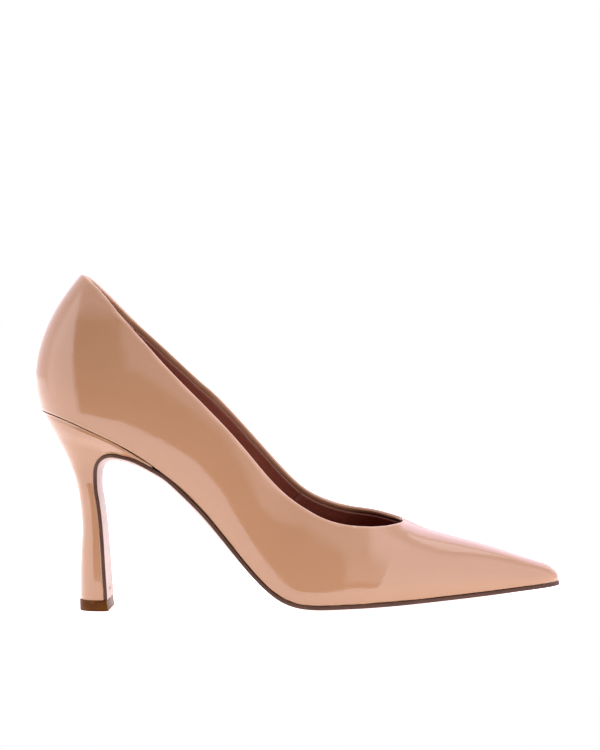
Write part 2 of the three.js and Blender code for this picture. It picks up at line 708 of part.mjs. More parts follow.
// Headed fastener set square to the seat at (x, y): its head's underside is HEAD_LOW above the bottom.
function seatFastener(x, y, radius, head, length) {
  const at = bottomPoint(x, y, HEAD_LOW);
  const axis = soleNormal(x);
  const h = HEAD_THICKNESS;
  const profile = [[0, -length], [radius * 0.4, -length], [radius, -length + radius * 1.6], [radius, 0],
    [head, 0], [head, h], [0, h]];
  const r = radius + BORE_CLEARANCE;
  const R = head + BORE_CLEARANCE;
  const bottom = -length - BORE_CLEARANCE;
  const hole = [[0, bottom], [r, bottom], [r, -PLY_GAP], [R, -PLY_GAP], [R, 6], [0, 6]];
  return {
    piece: placed(turned(profile), at, axis),
    tool: placed(turned(hole), at, axis),
  };
}

const SEAT_NAILS = [[14.5, 0], [18, -8], [18, 8], [25.5, -8.5], [25.5, 8.5]];
const nails = SEAT_NAILS.map(([x, y]) => seatFastener(x, y, NAIL_DIAMETER / 2, NAIL_HEAD / 2, NAIL_LENGTH));
const screw = seatFastener(22, 0, SCREW_DIAMETER / 2, SCREW_HEAD / 2, SCREW_LENGTH);

// Rivet through shank and board.
function shankRivet(x) {
  const at = bottomPoint(x, 0, 0);
  const axis = soleNormal(x);
  const r = RIVET_DIAMETER / 2;
  const head = RIVET_HEAD / 2;
  const profile = [[0, 0.1], [head, 0.1], [head, RIVET_FOOT], [r, RIVET_FOOT], [r, HEAD_LOW],
    [head, HEAD_LOW], [head, HEAD_LOW + HEAD_THICKNESS], [0, HEAD_LOW + HEAD_THICKNESS]];
  const c = BORE_CLEARANCE;
  const hole = [[0, -1], [r + c, -1], [r + c, HEAD_LOW - PLY_GAP], [head + c, HEAD_LOW - PLY_GAP],
    [head + c, HEAD_LOW + 6], [0, HEAD_LOW + 6]];
  return { piece: placed(turned(profile), at, axis), tool: placed(turned(hole), at, axis) };
}

const shankBack = SHANK_BACK * SOLE_LENGTH;
const shankFront = SHANK_FRONT * SOLE_LENGTH;
const rivetBack = shankRivet(shankBack + 5);
const rivetFront = shankRivet(shankFront - 6);

// ---------------------------------------------------------------------------------------------
// Plates of the bottom
// ---------------------------------------------------------------------------------------------
const PLATE_STATIONS = [0, 0.06, 0.12, 0.17, 0.215, 0.255, 0.29, 0.325, 0.36, 0.395, 0.42, 0.44, 0.458, 0.475,
  0.493, 0.515, 0.55, 0.61, 0.68, 0.76, 0.84, 0.9, 0.95, 1];

// A board that follows the sole's outline, inset all round, ending short of the toe by back-off.
function plate(inset, backOff, low, high) {
  const front = SOLE_LENGTH - backOff;
  const cells = [];
  for (const side of [-1, 1]) {
    const columns = PLATE_STATIONS.map((s) => {
      const u = station(s);
      const x = mix(inset, front, u);
      const own = clamp((x - front + 20) / 20, 0, 1);
      const shrink = 1 - inset / OUTLINE[side](clamp(x / SOLE_LENGTH, 0, 1));
      const shape = Math.sqrt(Math.max(0, 1 - Math.pow(own, 2.5)));
      const y = s <= 0 || s >= 1 ? 0 : side * halfWidth(side, (x - inset) / SOLE_LENGTH) * shrink * shape;
      const middle = mix(inset + 9, front - 12, u);
      return [1, 0.75, 0.4, 0].map((f) => {
        const px = mix(middle, x, f);
        return [bottomPoint(px, y * f, low), bottomPoint(px, y * f, high)];
      });
    });
    cells.push(...cellsOf(columns, side));
  }
  return sheet(cells);
}

const seatTools = [...nails.map((n) => n.tool), screw.tool];
put('insole_board', drilled(plate(BOARD_INSET, 10, BOARD_LOW, BOARD_HIGH),
  [...seatTools, rivetBack.tool, rivetFront.tool]), 0xa98f6a, 0.9);
put('sock_foam', plate(BOARD_INSET + 0.4, 26, FOAM_LOW, FOAM_LOW + FOAM_THICKNESS), 0xe8e2cf, 1);
put('sock_lining', plate(BOARD_INSET, 24, SOCK_LOW, SOCK_LOW + SOCK_THICKNESS), 0x5a2a20, 0.6);

function strip(stations, halves, low, high) {
  const columns = stations.map((x) => [-1, -0.55, 0, 0.55, 1].map((f) => {
    const y = halves(x, f) * f;
    return [bottomPoint(x, y, low), bottomPoint(x, y, high)];
  }));
  return sheet(cellsOf(columns, 1));
}

const shankStations = [];
for (let i = 0; i <= 18; i++) shankStations.push(mix(shankBack, shankFront, i / 18));
const shankHalf = (x) => SHANK_WIDTH / 2 * (0.6 + 0.4 * Math.min(step(shankBack, shankBack + 6, x),
  step(shankFront, shankFront - 6, x)));
put('steel_shank', drilled(strip(shankStations, shankHalf, SHANK_LOW, SHANK_LOW + SHANK_THICKNESS),
  [rivetBack.tool, rivetFront.tool]), 0x8d8f92, 0.35, 1);
put('shank_rivet_back', rivetBack.piece, 0xb8b8ba, 0.3, 1);
put('shank_rivet_front', rivetFront.piece, 0xb8b8ba, 0.3, 1);

const fillerCells = [];
for (const side of [-1, 1]) {
  const columns = [0.515, 0.55, 0.59, 0.63, 0.67, 0.71, 0.76, 0.81, 0.86].map((s) => {
    const [x, y] = marginEnd(side, s, MARGIN_WIDTH);
    const edge = side * Math.max(Math.abs(y) - 1, 0.4);
    return [1, 0.5, 0].map((f) => {
      const z = [PLY_GAP, PLY_GAP + FILLER_THICKNESS];
      return z.map((w) => bottomPoint(x, edge * f, w));
    });
  });
  fillerCells.push(...cellsOf(columns, side));
}
put('bottom_filler', sheet(fillerCells), 0x9a744a, 1);

// ---------------------------------------------------------------------------------------------
// The sole's flap: from the waist round the arch and down the heel breast.
// Row q runs from the waist (0) to the top lift; x is a share of the way from the neck to the
// wing's end, height a share of the seat's rise.
// ---------------------------------------------------------------------------------------------
const wingX = WING_END * SOLE_LENGTH;
const heelFoot = LIFT_THICKNESS + PLY_GAP;
const ARCH = [
  [0.875, 0.7175], [0.735, 0.739], [0.59, 0.7545], [0.442, 0.765], [0.324, 0.768], [0.209, 0.761],
  [0.112, 0.742], [0.043, 0.712], [0.007, 0.67], [-0.003, 0.622], [0, 0.571], [0.02, 0.527],
  [0.044, 0.452], [0.066, 0.345], [0.08, 0.195],
].map(([f, h]) => [mix(NECK_FRONT, wingX, f), SOLE_BASE + h * SEAT_HEIGHT]);

function flapLead(x, w) {
  const p = V(x, 0, soleHeight(x)).addScaledVector(soleNormal(x), w);
  return [p.x, p.z];
}
const FLAP = [
  flapLead(wingX + 10.5, -SOLE_GAP), flapLead(wingX + 5.5, -SOLE_GAP - 0.06),
  flapLead(wingX + 0.6, -SOLE_GAP - 0.85), ...ARCH, [NECK_FRONT + 2.7, heelFoot],
];
const FLAP_END = FLAP.length - 1;
const FLAP_X = spline(FLAP.map(([x], i) => [i, x]));
const FLAP_Z = spline(FLAP.map(([, z], i) => [i, z]));
const FLAP_WIDTH = spline([[0, 1], [1, 1], [2, 1], [3, 0.99], [4, 0.97], [5, 0.94], [6, 0.89], [7, 0.83],
  [8, 0.76], [9, 0.69], [10, 0.62], [11, 0.555], [12, 0.51], [13, 0.48], [14, 0.463], [15, 0.45],
  [16, 0.455], [17, 0.48], [18, 0.51]]);
const FLAP_CROWN = spline([[0, 3], [3, 3], [6, 2.7], [8, 2.2], [10, 1.5], [12, 0.8], [14, 0.3], [16, 0.1],
  [18, 0.0]]);

function flapHalf(side, q) {
  const x = FLAP_X(Math.min(q, 3));
  const high = halfWidth(side, x / SOLE_LENGTH) * FLAP_WIDTH(q);
  const low = mix(NECK_HALF_WIDTH, TIP_HALF_WIDTH, step(15, FLAP_END, q));
  return mix(high, low, step(9, 14, q));
}

// Point of the flap at row q and offset y across, off millimetres outside its inner face.
function flapPoint(side, q, y, off) {
  const e = 0.05;
  const a = Math.max(0, q - e);
  const b = Math.min(FLAP_END, q + e);
  const tangent = V(FLAP_X(b) - FLAP_X(a), 0, FLAP_Z(b) - FLAP_Z(a)).normalize();
  const normal = V(-tangent.z, 0, tangent.x);
  const half = flapHalf(side, q);
  const bulge = Math.max(0, FLAP_CROWN(q)) * (1 - Math.min(1, (y / half) ** 2));
  const p = V(FLAP_X(q), y, FLAP_Z(q)).addScaledVector(normal, bulge + off);
  if (q >= FLAP_END) p.z = heelFoot;
  return p;
}

// ---------------------------------------------------------------------------------------------
// Outsole: one piece from the toe to the foot of the heel breast
// ---------------------------------------------------------------------------------------------
const ACROSS = [-1, -0.8, -0.5, -0.18, 0.18, 0.5, 0.8, 1];
const soleLow = -SOLE_GAP - OUTSOLE_THICKNESS;
const TREAD_WEAR = 0.14;

function worn(p) {
  return p.setZ(Math.max(0, p.z - TREAD_WEAR));
}

const soleColumns = [];
for (const s of [1, 0.975, 0.945, 0.905, 0.86, 0.81, 0.76, 0.71, 0.66, 0.62, 0.58, 0.55, 0.52, 0.495, 0.475,
  0.455, 0.435, 0.415, 0.395, 0.375]) {
  const u = station(s);
  soleColumns.push(ACROSS.map((f) => {
    const side = f < 0 ? -1 : 1;
    const edge = featherEdge(side, s).addScaledVector(outward(side, s), SOLE_OVERHANG);
    const x = mix(u * SOLE_LENGTH, edge.x, Math.abs(f));
    const y = edge.y * Math.abs(f);
    return [worn(bottomPoint(x, y, soleLow)), bottomPoint(x, y, -SOLE_GAP)];
  }));
}
for (let q = 0; q <= FLAP_END; q++) {
  soleColumns.push(ACROSS.map((f) => {
    const side = f < 0 ? -1 : 1;
    const y = (flapHalf(side, q) + (q < 3 ? SOLE_OVERHANG : 0)) * f;
    return [flapPoint(side, q, y, OUTSOLE_THICKNESS), flapPoint(side, q, y, 0)];
  }));
}
const outsole = sheet(cellsOf(soleColumns, 1));

// ---------------------------------------------------------------------------------------------
// Heel: rings from the seat (row 0) down to the top lift
// ---------------------------------------------------------------------------------------------
const BACK_RAIL = spline([[0, 15.0], [0.05, 14.4], [0.22, 15.4], [0.402, 16.5], [0.525, 16.0],
  [0.647, 14.1], [0.771, 9.9], [0.895, 4.4], [1, 0]]);
const BACK_ROWS = [0.988, 0.968, 0.948, 0.926, 0.904, 0.88, 0.856, 0.829, 0.798, 0.759, 0.704, 0.64, 0.573,
  0.478, 0.357, 0.202];
const SEAT_SHARE = [1, 0.97, 0.91, 0.85, 0.77, 0.68, 0.59, 0.5, 0.4, 0.3, 0.2, 0.11, 0.05, 0, 0, 0, 0, 0];
const TURNS = [0, 0.09, 0.19, 0.3, 0.42, 0.55, 0.68, 0.82, 1];

function heelRing(side, row, turn, inset) {
  const angle = turn * Math.PI / 2;
  const f = 1 - Math.cos(angle);
  const seatX = mix(0, wingX, f);
  const seatY = halfWidth(side, seatX / SOLE_LENGTH);
  if (row === 0) {
    const e = 0.3;
    const slope = (halfWidth(side, (seatX + e) / SOLE_LENGTH) - halfWidth(side,
      Math.max(0, seatX - e) / SOLE_LENGTH)) / (turn === 0 ? 1 : 2 * e);
    const n = turn === 0 ? V(-1, 0, 0) : V(-slope, 1, 0).normalize();
    const x = turn >= 1 ? seatX : seatX - n.x * inset;
    const y = turn >= 1 ? seatY - inset : seatY - n.y * inset;
    return bottomPoint(x, turn === 0 ? 0 : side * y, -SOLE_GAP);
  }
  const q = row + 1;
  const front = flapPoint(side, q, side * flapHalf(side, q), -PLY_GAP);
  const height = row >= BACK_ROWS.length + 1 ? heelFoot : SOLE_BASE + BACK_ROWS[row - 1] * SEAT_HEIGHT;
  const back = V(BACK_RAIL((height - SOLE_BASE) / SEAT_HEIGHT), 0, height);
  const share = SEAT_SHARE[row];
  const round = Math.pow(Math.sin(angle), 0.9);
  const seatRound = seatY / halfWidth(side, wingX / SOLE_LENGTH);
  const across = Math.abs(front.y) * mix(round, seatRound, share);
  const p = back.clone().lerp(front, f);
  const seat = bottomPoint(seatX, side * seatY, -SOLE_GAP);
  const chord = bottomPoint(0, 0, -SOLE_GAP).lerp(bottomPoint(wingX, side * flapHalf(side, 2), -SOLE_GAP), f);
  p.z += (seat.z - chord.z) * share ** 2;
  p.y = turn === 0 ? 0 : side * across;
  if (row === BACK_ROWS.length + 1) p.z = heelFoot;
  if (inset > 0) {
    const n = V(-Math.cos(angle), side * Math.sin(angle), 0);
    const depth = Math.abs(front.y) / Math.max(front.x - back.x, 1);
    n.x *= Math.min(1.4, depth);
    n.normalize();
    if (turn >= 1) n.set(0, side, 0);
    p.addScaledVector(n, -inset);
    if (turn === 0) p.y = 0;
  }
  return p;
}

const HEEL_ROWS = BACK_ROWS.length + 2;
const rowList = Array.from({ length: HEEL_ROWS }, (_, i) => i);

const coverCells = [];
for (const side of [-1, 1]) {
  const columns = TURNS.map((turn) => rowList.map((row) => [
    heelRing(side, row, turn, 0), heelRing(side, row, turn, COVER_THICKNESS),
  ]));
  coverCells.push(...cellsOf(columns, side));
}
put('heel_cover', sheet(coverCells), 0xd0a088, 0.12);

const coreInset = COVER_THICKNESS + PLY_GAP;
const core = new Solid();
const BREAST = [-1, -0.6, -0.2, 0.2, 0.6, 1];
const coreSide = (side, turn) => rowList.map((row) => heelRing(side, row, turn, coreInset));
for (const side of [-1, 1]) core.grid(TURNS.map((turn) => coreSide(side, turn)), side < 0);
const breastRow = (row) => BREAST.map((f) => {
  const side = f < 0 ? -1 : 1;
  const corner = heelRing(side, row, 1, coreInset);
  if (Math.abs(f) === 1) return corner;
  if (row === 0) return bottomPoint(wingX, corner.y * Math.abs(f), -SOLE_GAP);
  return flapPoint(side, row + 1, corner.y * Math.abs(f), -PLY_GAP);
});
core.grid(rowList.map(breastRow), false);
const capRow = (row, turn) => {
  if (turn === 1) return breastRow(row);
  return BREAST.map((f) => {
    const side = f < 0 ? -1 : 1;
    const edge = heelRing(side, row, turn, coreInset);
    if (Math.abs(f) === 1 || turn === 0) return edge;
    if (row > 0) return V(edge.x, edge.y * Math.abs(f), heelFoot);
    const flat = bottomPoint(edge.x, edge.y * Math.abs(f), -SOLE_GAP);
    return flat;
  });
};
core.grid(TURNS.map((turn) => capRow(0, turn)), true);
core.grid(TURNS.map((turn) => capRow(HEEL_ROWS - 1, turn)), false);

const tubeX = (BACK_RAIL(0.52) + coreInset + NECK_FRONT + 0.6) / 2;
const tubeBore = turned([[0, -1], [TUBE_OUTER / 2 + BORE_CLEARANCE, -1],
  [TUBE_OUTER / 2 + BORE_CLEARANCE, TUBE_LENGTH + BORE_CLEARANCE], [0, TUBE_LENGTH + BORE_CLEARANCE]], 14);
placed(tubeBore, V(tubeX, 0, heelFoot), V(0, 0, 1));
const tubeInner = TUBE_OUTER / 2 - TUBE_WALL;
const tube = placed(turned([[TUBE_OUTER / 2, 0], [TUBE_OUTER / 2, TUBE_LENGTH], [tubeInner, TUBE_LENGTH],
  [tubeInner, 0], [TUBE_OUTER / 2, 0]], 14), V(tubeX, 0, heelFoot), V(0, 0, 1));

const tackAt = flapPoint(1, FLAP_END - 0.25, 0, OUTSOLE_THICKNESS + 0.1);
const tackAxis = V(1, 0, 0);
const tackRadius = TACK_DIAMETER / 2;
const tackHead = tackRadius + 0.5;
const tack = placed(turned([[0, -TACK_LENGTH], [tackRadius, -TACK_LENGTH + 0.8], [tackRadius, 0],
  [tackHead, 0], [tackHead * 0.8, 0.3], [0, 0.4]], 12), tackAt, tackAxis);
const tackHole = placed(turned([[0, -TACK_LENGTH - 0.3], [tackRadius + 0.2, -TACK_LENGTH - 0.3],
  [tackRadius + 0.2, 2], [0, 2]], 12), tackAt, tackAxis);

put('heel_core', drilled(core.unify().geometry(), [tubeBore, tackHole, ...seatTools]), 0xe6e0d2, 0.5);
put('outsole', drilled(outsole, [tackHole]), 0x6b4634, 0.45);
put('heel_tube', tube, 0x9a9c9f, 0.3, 1);
put('breast_tack', tack, 0x3a3230, 0.4, 1);

// ---------------------------------------------------------------------------------------------
// Top lift and its pin
// ---------------------------------------------------------------------------------------------
const liftFront = NECK_FRONT + 2.7 + OUTSOLE_THICKNESS + 0.2;
const liftCells = [];
const liftEdge = (side, turn) => {
  const foot = heelRing(side, HEEL_ROWS - 1, turn, 0);
  const back = heelRing(side, HEEL_ROWS - 1, 0, 0).x;
  const x = mix(back - LIFT_OVERHANG, liftFront, 1 - Math.cos(turn * Math.PI / 2));
  return [x, foot.y === 0 ? 0 : foot.y + side * LIFT_OVERHANG];
};
const liftColumns = TURNS.map((turn) => [-1, 1].map((side) => {
  const [x, y] = liftEdge(side, turn);
  return [V(x, y, 0), V(x - 0.6 * step(0, 1, turn), y, LIFT_THICKNESS)];
}));
liftCells.push(...cellsOf(liftColumns, 1));
const pinLow = LIFT_THICKNESS / 2;
const pinRadius = PIN_DIAMETER / 2;
const pin = placed(turned([[0, 0], [pinRadius, 0], [pinRadius, PIN_LENGTH - 1],
  [pinRadius * 0.6, PIN_LENGTH], [0, PIN_LENGTH]], 16), V(tubeX, 0, pinLow), V(0, 0, 1));
const pinHole = placed(turned([[0, -BORE_CLEARANCE], [pinRadius + BORE_CLEARANCE, -BORE_CLEARANCE],
  [pinRadius + BORE_CLEARANCE, PIN_LENGTH], [0, PIN_LENGTH]], 16), V(tubeX, 0, pinLow), V(0, 0, 1));
put('top_lift', drilled(sheet(liftCells), [pinHole]), 0x8a5528, 0.35);
put('top_lift_pin', pin, 0xb0b2b5, 0.3, 1);

nails.forEach((nail, i) => put(`heel_nail_${i + 1}`, nail.piece, 0xb0b2b5, 0.35, 1));
put('heel_screw', screw.piece, 0xb0b2b5, 0.35, 1);

// ---------------------------------------------------------------------------------------------
// The finished group
// ---------------------------------------------------------------------------------------------
const shoe = new THREE.Group();
for (const node of nodes) {
  const { color, roughness, metalness } = node;
  const mesh = new THREE.Mesh(node.geometry, new THREE.MeshStandardMaterial({ color, roughness, metalness }));
  mesh.name = node.name;
  shoe.add(mesh);
}
const box = new THREE.Box3().setFromObject(shoe);
const middle = box.getCenter(new THREE.Vector3());
shoe.position.set(-middle.x, -middle.y, -box.min.z);
shoe.updateMatrixWorld(true);

export default shoe;
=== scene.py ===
"""High heel pump, right foot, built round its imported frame.

Each sub-assembly is a class. It takes the frame's solids, refines copies of them into smooth leather,
board and plastic, adds the small pieces that only the eye needs, and dresses everything in procedural
finishes. Units are metres, +Z is up, +X points at the toe and -Y at the outer side of the foot.
"""

import logging
import math
from collections.abc import Callable
from dataclasses import dataclass, field
from enum import Enum

import bmesh
import bpy
from mathutils import Matrix, Vector


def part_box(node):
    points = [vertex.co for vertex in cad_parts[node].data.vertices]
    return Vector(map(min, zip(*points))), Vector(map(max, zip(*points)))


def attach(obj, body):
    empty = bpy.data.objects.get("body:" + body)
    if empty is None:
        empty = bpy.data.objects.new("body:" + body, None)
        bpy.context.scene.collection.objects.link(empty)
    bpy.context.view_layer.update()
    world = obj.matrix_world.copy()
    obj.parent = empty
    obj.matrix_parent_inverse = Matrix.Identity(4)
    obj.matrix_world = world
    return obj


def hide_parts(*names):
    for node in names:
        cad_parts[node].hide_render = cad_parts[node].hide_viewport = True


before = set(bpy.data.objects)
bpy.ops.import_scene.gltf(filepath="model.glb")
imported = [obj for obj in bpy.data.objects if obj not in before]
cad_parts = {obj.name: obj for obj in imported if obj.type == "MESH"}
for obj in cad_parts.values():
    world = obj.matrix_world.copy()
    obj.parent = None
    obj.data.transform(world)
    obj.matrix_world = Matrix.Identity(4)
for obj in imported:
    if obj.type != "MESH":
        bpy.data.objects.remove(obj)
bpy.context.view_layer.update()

log = logging.getLogger("pump")

MM = 0.001
WELD = 2e-6
QUAD_BEND = 50.0
QUAD_SKEW = 60.0
SUBDIVISIONS = 2
CORRECTIONS = 2
LARGEST_SLIP = 1.5 * MM
RIM_WIDTH = 2.0 * MM
RIM_RISE = 0.45
Colour = tuple[float, float, float]


class Foot(Enum):
    """The two sides of the shoe."""

    OUTER = -1
    INNER = 1


class Edge(Enum):
    """How firmly the edges of a refined piece hold their corner."""

    ROLLED = 0.3
    CUT = 0.75


# -----------------------------------------------------------------------------------------------
# Nodes and finishes
# -----------------------------------------------------------------------------------------------
class Net:
    """A node tree with short ways to add and join nodes."""

    COLUMN_WIDTH = 190
    ROW_HEIGHT = 160
    FIRST_COLOUR, SECOND_COLOUR, MIXED_COLOUR = 6, 7, 2

    def __init__(self, tree: bpy.types.NodeTree) -> None:
        """Take a tree and clear it.

        Args:
            tree: the shader tree to fill.
        """
        self.tree = tree
        tree.nodes.clear()
        self.column = 0

    def add(self, kind: str, inputs: dict[str, object] | None = None, **settings: object) -> bpy.types.Node:
        """Add a node.

        Args:
            kind: the node's type, without its ShaderNode prefix.
            inputs: values or sockets for its inputs, by name or by number.
            settings: its properties.

        Returns:
            The new node.
        """
        prefix = "" if kind.startswith("Node") else "ShaderNode"
        node = self.tree.nodes.new(prefix + kind)
        self.column += 1
        node.location = (self.column * self.COLUMN_WIDTH, -(self.column % 3) * self.ROW_HEIGHT)
        for name, value in settings.items():
            setattr(node, name, value)
        for name, value in (inputs or {}).items():
            self.feed(node.inputs[name], value)
        return node

    def feed(self, socket: bpy.types.NodeSocket, value: object) -> None:
        """Give an input a value, or join a socket to it.

        Args:
            socket: the input.
            value: a plain value, a colour of three numbers, or another node's socket.
        """
        if isinstance(value, bpy.types.NodeSocket):
            self.tree.links.new(value, socket)
        elif isinstance(value, tuple) and len(value) == 3 and socket.type == "RGBA":
            socket.default_value = (*value, 1.0)
        else:
            socket.default_value = value

    def ramp(self, value: bpy.types.NodeSocket, low: float, high: float,
             to_low: float = 0.0, to_high: float = 1.0) -> bpy.types.NodeSocket:
        """Map a value smoothly from one range to another.

        Args:
            value: the socket to map.
            low: start of its range.
            high: end of its range.
            to_low: result at the start.
            to_high: result at the end.

        Returns:
            The mapped value's socket.
        """
        node = self.add("MapRange", {0: value, 1: low, 2: high, 3: to_low, 4: to_high},
                        interpolation_type="SMOOTHSTEP")
        return node.outputs[0]

    def maths(self, operation: str, *values: object) -> bpy.types.NodeSocket:
        """One Math node on the values given; returns its result's socket."""
        return self.add("Math", dict(enumerate(values)), operation=operation).outputs[0]

    def blend(self, share: object, first: object, second: object) -> bpy.types.NodeSocket:
        """Mix two colours.

        Args:
            share: how much of the second colour shows, 0 to 1.
            first: one colour, or its socket.
            second: the other colour, or its socket.

        Returns:
            The mixed colour's socket.
        """
        node = self.add("Mix", data_type="RGBA")
        self.feed(node.inputs["Factor"], share)
        self.feed(node.inputs[self.FIRST_COLOUR], first)
        self.feed(node.inputs[self.SECOND_COLOUR], second)
        return node.outputs[self.MIXED_COLOUR]


class Effects:
    """Node groups that several finishes share, each built once."""

    built: dict[str, bpy.types.NodeTree] = {}

    @classmethod
    def group(cls, name: str, inputs: dict[str, float | Colour], outputs: dict[str, str],
              fill: Callable[[Net, dict[str, bpy.types.NodeSocket]], dict[str, bpy.types.NodeSocket]],
              ) -> bpy.types.NodeTree:
        """Build a group, or fetch it when it is already there.

        Args:
            name: the group's name.
            inputs: input names with their usual values; three numbers make a colour.
            outputs: output names with their socket types.
            fill: adds the nodes and returns what each output carries.

        Returns:
            The node group.
        """
        if name in cls.built:
            return cls.built[name]
        tree = bpy.data.node_groups.new(name, "ShaderNodeTree")
        net = Net(tree)
        for label, value in inputs.items():
            colour = isinstance(value, tuple)
            kind = "NodeSocketColor" if colour else "NodeSocketFloat"
            socket = tree.interface.new_socket(label, in_out="INPUT", socket_type=kind)
            socket.default_value = (*value, 1.0) if colour else value
        for label, kind in outputs.items():
            tree.interface.new_socket(label, in_out="OUTPUT", socket_type=kind)
        inlet = net.add("NodeGroupInput")
        results = fill(net, {label: inlet.outputs[label] for label in inputs})
        outlet = net.add("NodeGroupOutput")
        for label, socket in results.items():
            net.tree.links.new(socket, outlet.inputs[label])
        cls.built[name] = tree
        return tree

    @classmethod
    def drift(cls) -> bpy.types.NodeTree:
        """Slow change from one colour to another over the surface.

        Returns:
            The node group.
        """

        def fill(net: Net, given: dict[str, bpy.types.NodeSocket]) -> dict[str, bpy.types.NodeSocket]:
            """Add the group's nodes.

            Args:
                net: the group's net.
                given: its input sockets by name.

            Returns:
                What each output carries, by name.
            """
            place = net.add("TexCoord").outputs["Object"]
            broad = net.add("TexNoise", {"Vector": place, "Scale": given["Scale"], "Detail": 3.0,
                                         "Roughness": 0.55})
            share = net.ramp(broad.outputs[0], 0.32, 0.68)
            share = net.maths("MULTIPLY", share, given["Amount"])
            return {"Colour": net.blend(share, given["Base"], given["Tint"])}

        return cls.group("colour_drift", {"Base": (0.5, 0.5, 0.5), "Tint": (0.5, 0.5, 0.5), "Scale": 30.0,
                                          "Amount": 1.0}, {"Colour": "NodeSocketColor"}, fill)

    @classmethod
    def peel(cls) -> bpy.types.NodeTree:
        """Orange peel of a poured coat over leather: a fine ripple on a broader one.

        Returns:
            The node group.
        """

        def fill(net: Net, given: dict[str, bpy.types.NodeSocket]) -> dict[str, bpy.types.NodeSocket]:
            """Add the group's nodes.

            Args:
                net: the group's net.
                given: its input sockets by name.

            Returns:
                What each output carries, by name.
            """
            place = net.add("TexCoord").outputs["Object"]
            fine = net.add("TexNoise", {"Vector": place, "Scale": given["Fine"], "Detail": 2.0,
                                        "Roughness": 0.5})
            broad = net.add("TexNoise", {"Vector": place, "Scale": given["Broad"], "Detail": 1.0,
                                         "Roughness": 0.4})
            heavy = net.maths("MULTIPLY", broad.outputs[0], given["Sway"])
            return {"Height": net.maths("ADD", fine.outputs[0], heavy)}

        return cls.group("coat_peel", {"Fine": 900.0, "Broad": 90.0, "Sway": 3.0},
                         {"Height": "NodeSocketFloat"}, fill)

    @classmethod
    def pores(cls) -> bpy.types.NodeTree:
        """Grain of leather: cells with creases between them, and a mask that is 1 in the creases.

        Returns:
            The node group.
        """

        def fill(net: Net, given: dict[str, bpy.types.NodeSocket]) -> dict[str, bpy.types.NodeSocket]:
            """Add the group's nodes.

            Args:
                net: the group's net.
                given: its input sockets by name.

            Returns:
                What each output carries, by name.
            """
            place = net.add("TexCoord").outputs["Object"]
            stir = net.add("TexNoise", {"Vector": place, "Scale": given["Scale"], "Detail": 2.0})
            shift = net.add("VectorMath", {0: stir.outputs[1]}, operation="SCALE")
            net.feed(shift.inputs["Scale"], 0.0006)
            moved = net.add("VectorMath", {0: place, 1: shift.outputs[0]}, operation="ADD")
            cells = net.add("TexVoronoi", {"Vector": moved.outputs[0], "Scale": given["Scale"]},
                            feature="DISTANCE_TO_EDGE")
            crease = net.ramp(cells.outputs[0], 0.0, 0.16, 1.0, 0.0)
            height = net.maths("SUBTRACT", stir.outputs[0], crease)
            return {"Height": height, "Creases": crease}

        return cls.group("leather_grain", {"Scale": 900.0},
                         {"Height": "NodeSocketFloat", "Creases": "NodeSocketFloat"}, fill)

    @classmethod
    def rubs(cls) -> bpy.types.NodeTree:
        """Light rubbing: a mask of long fine streaks broken into patches.

        Returns:
            The node group.
        """

        def fill(net: Net, given: dict[str, bpy.types.NodeSocket]) -> dict[str, bpy.types.NodeSocket]:
            """Add the group's nodes.

            Args:
                net: the group's net.
                given: its input sockets by name.

            Returns:
                What each output carries, by name.
            """
            place = net.add("TexCoord").outputs["Object"]
            drawn = net.add("Mapping", {"Vector": place, "Scale": (0.12, 1.0, 1.0)})
            streak = net.add("TexNoise", {"Vector": drawn.outputs[0], "Scale": given["Scale"],
                                          "Detail": 4.0, "Roughness": 0.7})
            patch = net.add("TexNoise", {"Vector": place, "Scale": 45.0, "Detail": 1.0})
            lines = net.ramp(streak.outputs[0], 0.56, 0.7)
            where = net.ramp(patch.outputs[0], 0.45, 0.65)
            return {"Mask": net.maths("MULTIPLY", lines, where)}

        return cls.group("rubbed_streaks", {"Scale": 700.0}, {"Mask": "NodeSocketFloat"}, fill)

    @classmethod
    def rim(cls) -> bpy.types.NodeTree:
        """Mask of a piece's cut or folded edge, from its rim attribute.

        Returns:
            The node group.
        """

        def fill(net: Net, given: dict[str, bpy.types.NodeSocket]) -> dict[str, bpy.types.NodeSocket]:
            """Add the group's nodes.

            Args:
                net: the group's net.
                given: its input sockets by name.

            Returns:
                What each output carries, by name.
            """
            mark = net.add("Attribute", attribute_name="rim")
            return {"Mask": net.ramp(mark.outputs["Fac"], given["Start"], 1.0)}

        return cls.group("edge_mask", {"Start": 0.3}, {"Mask": "NodeSocketFloat"}, fill)


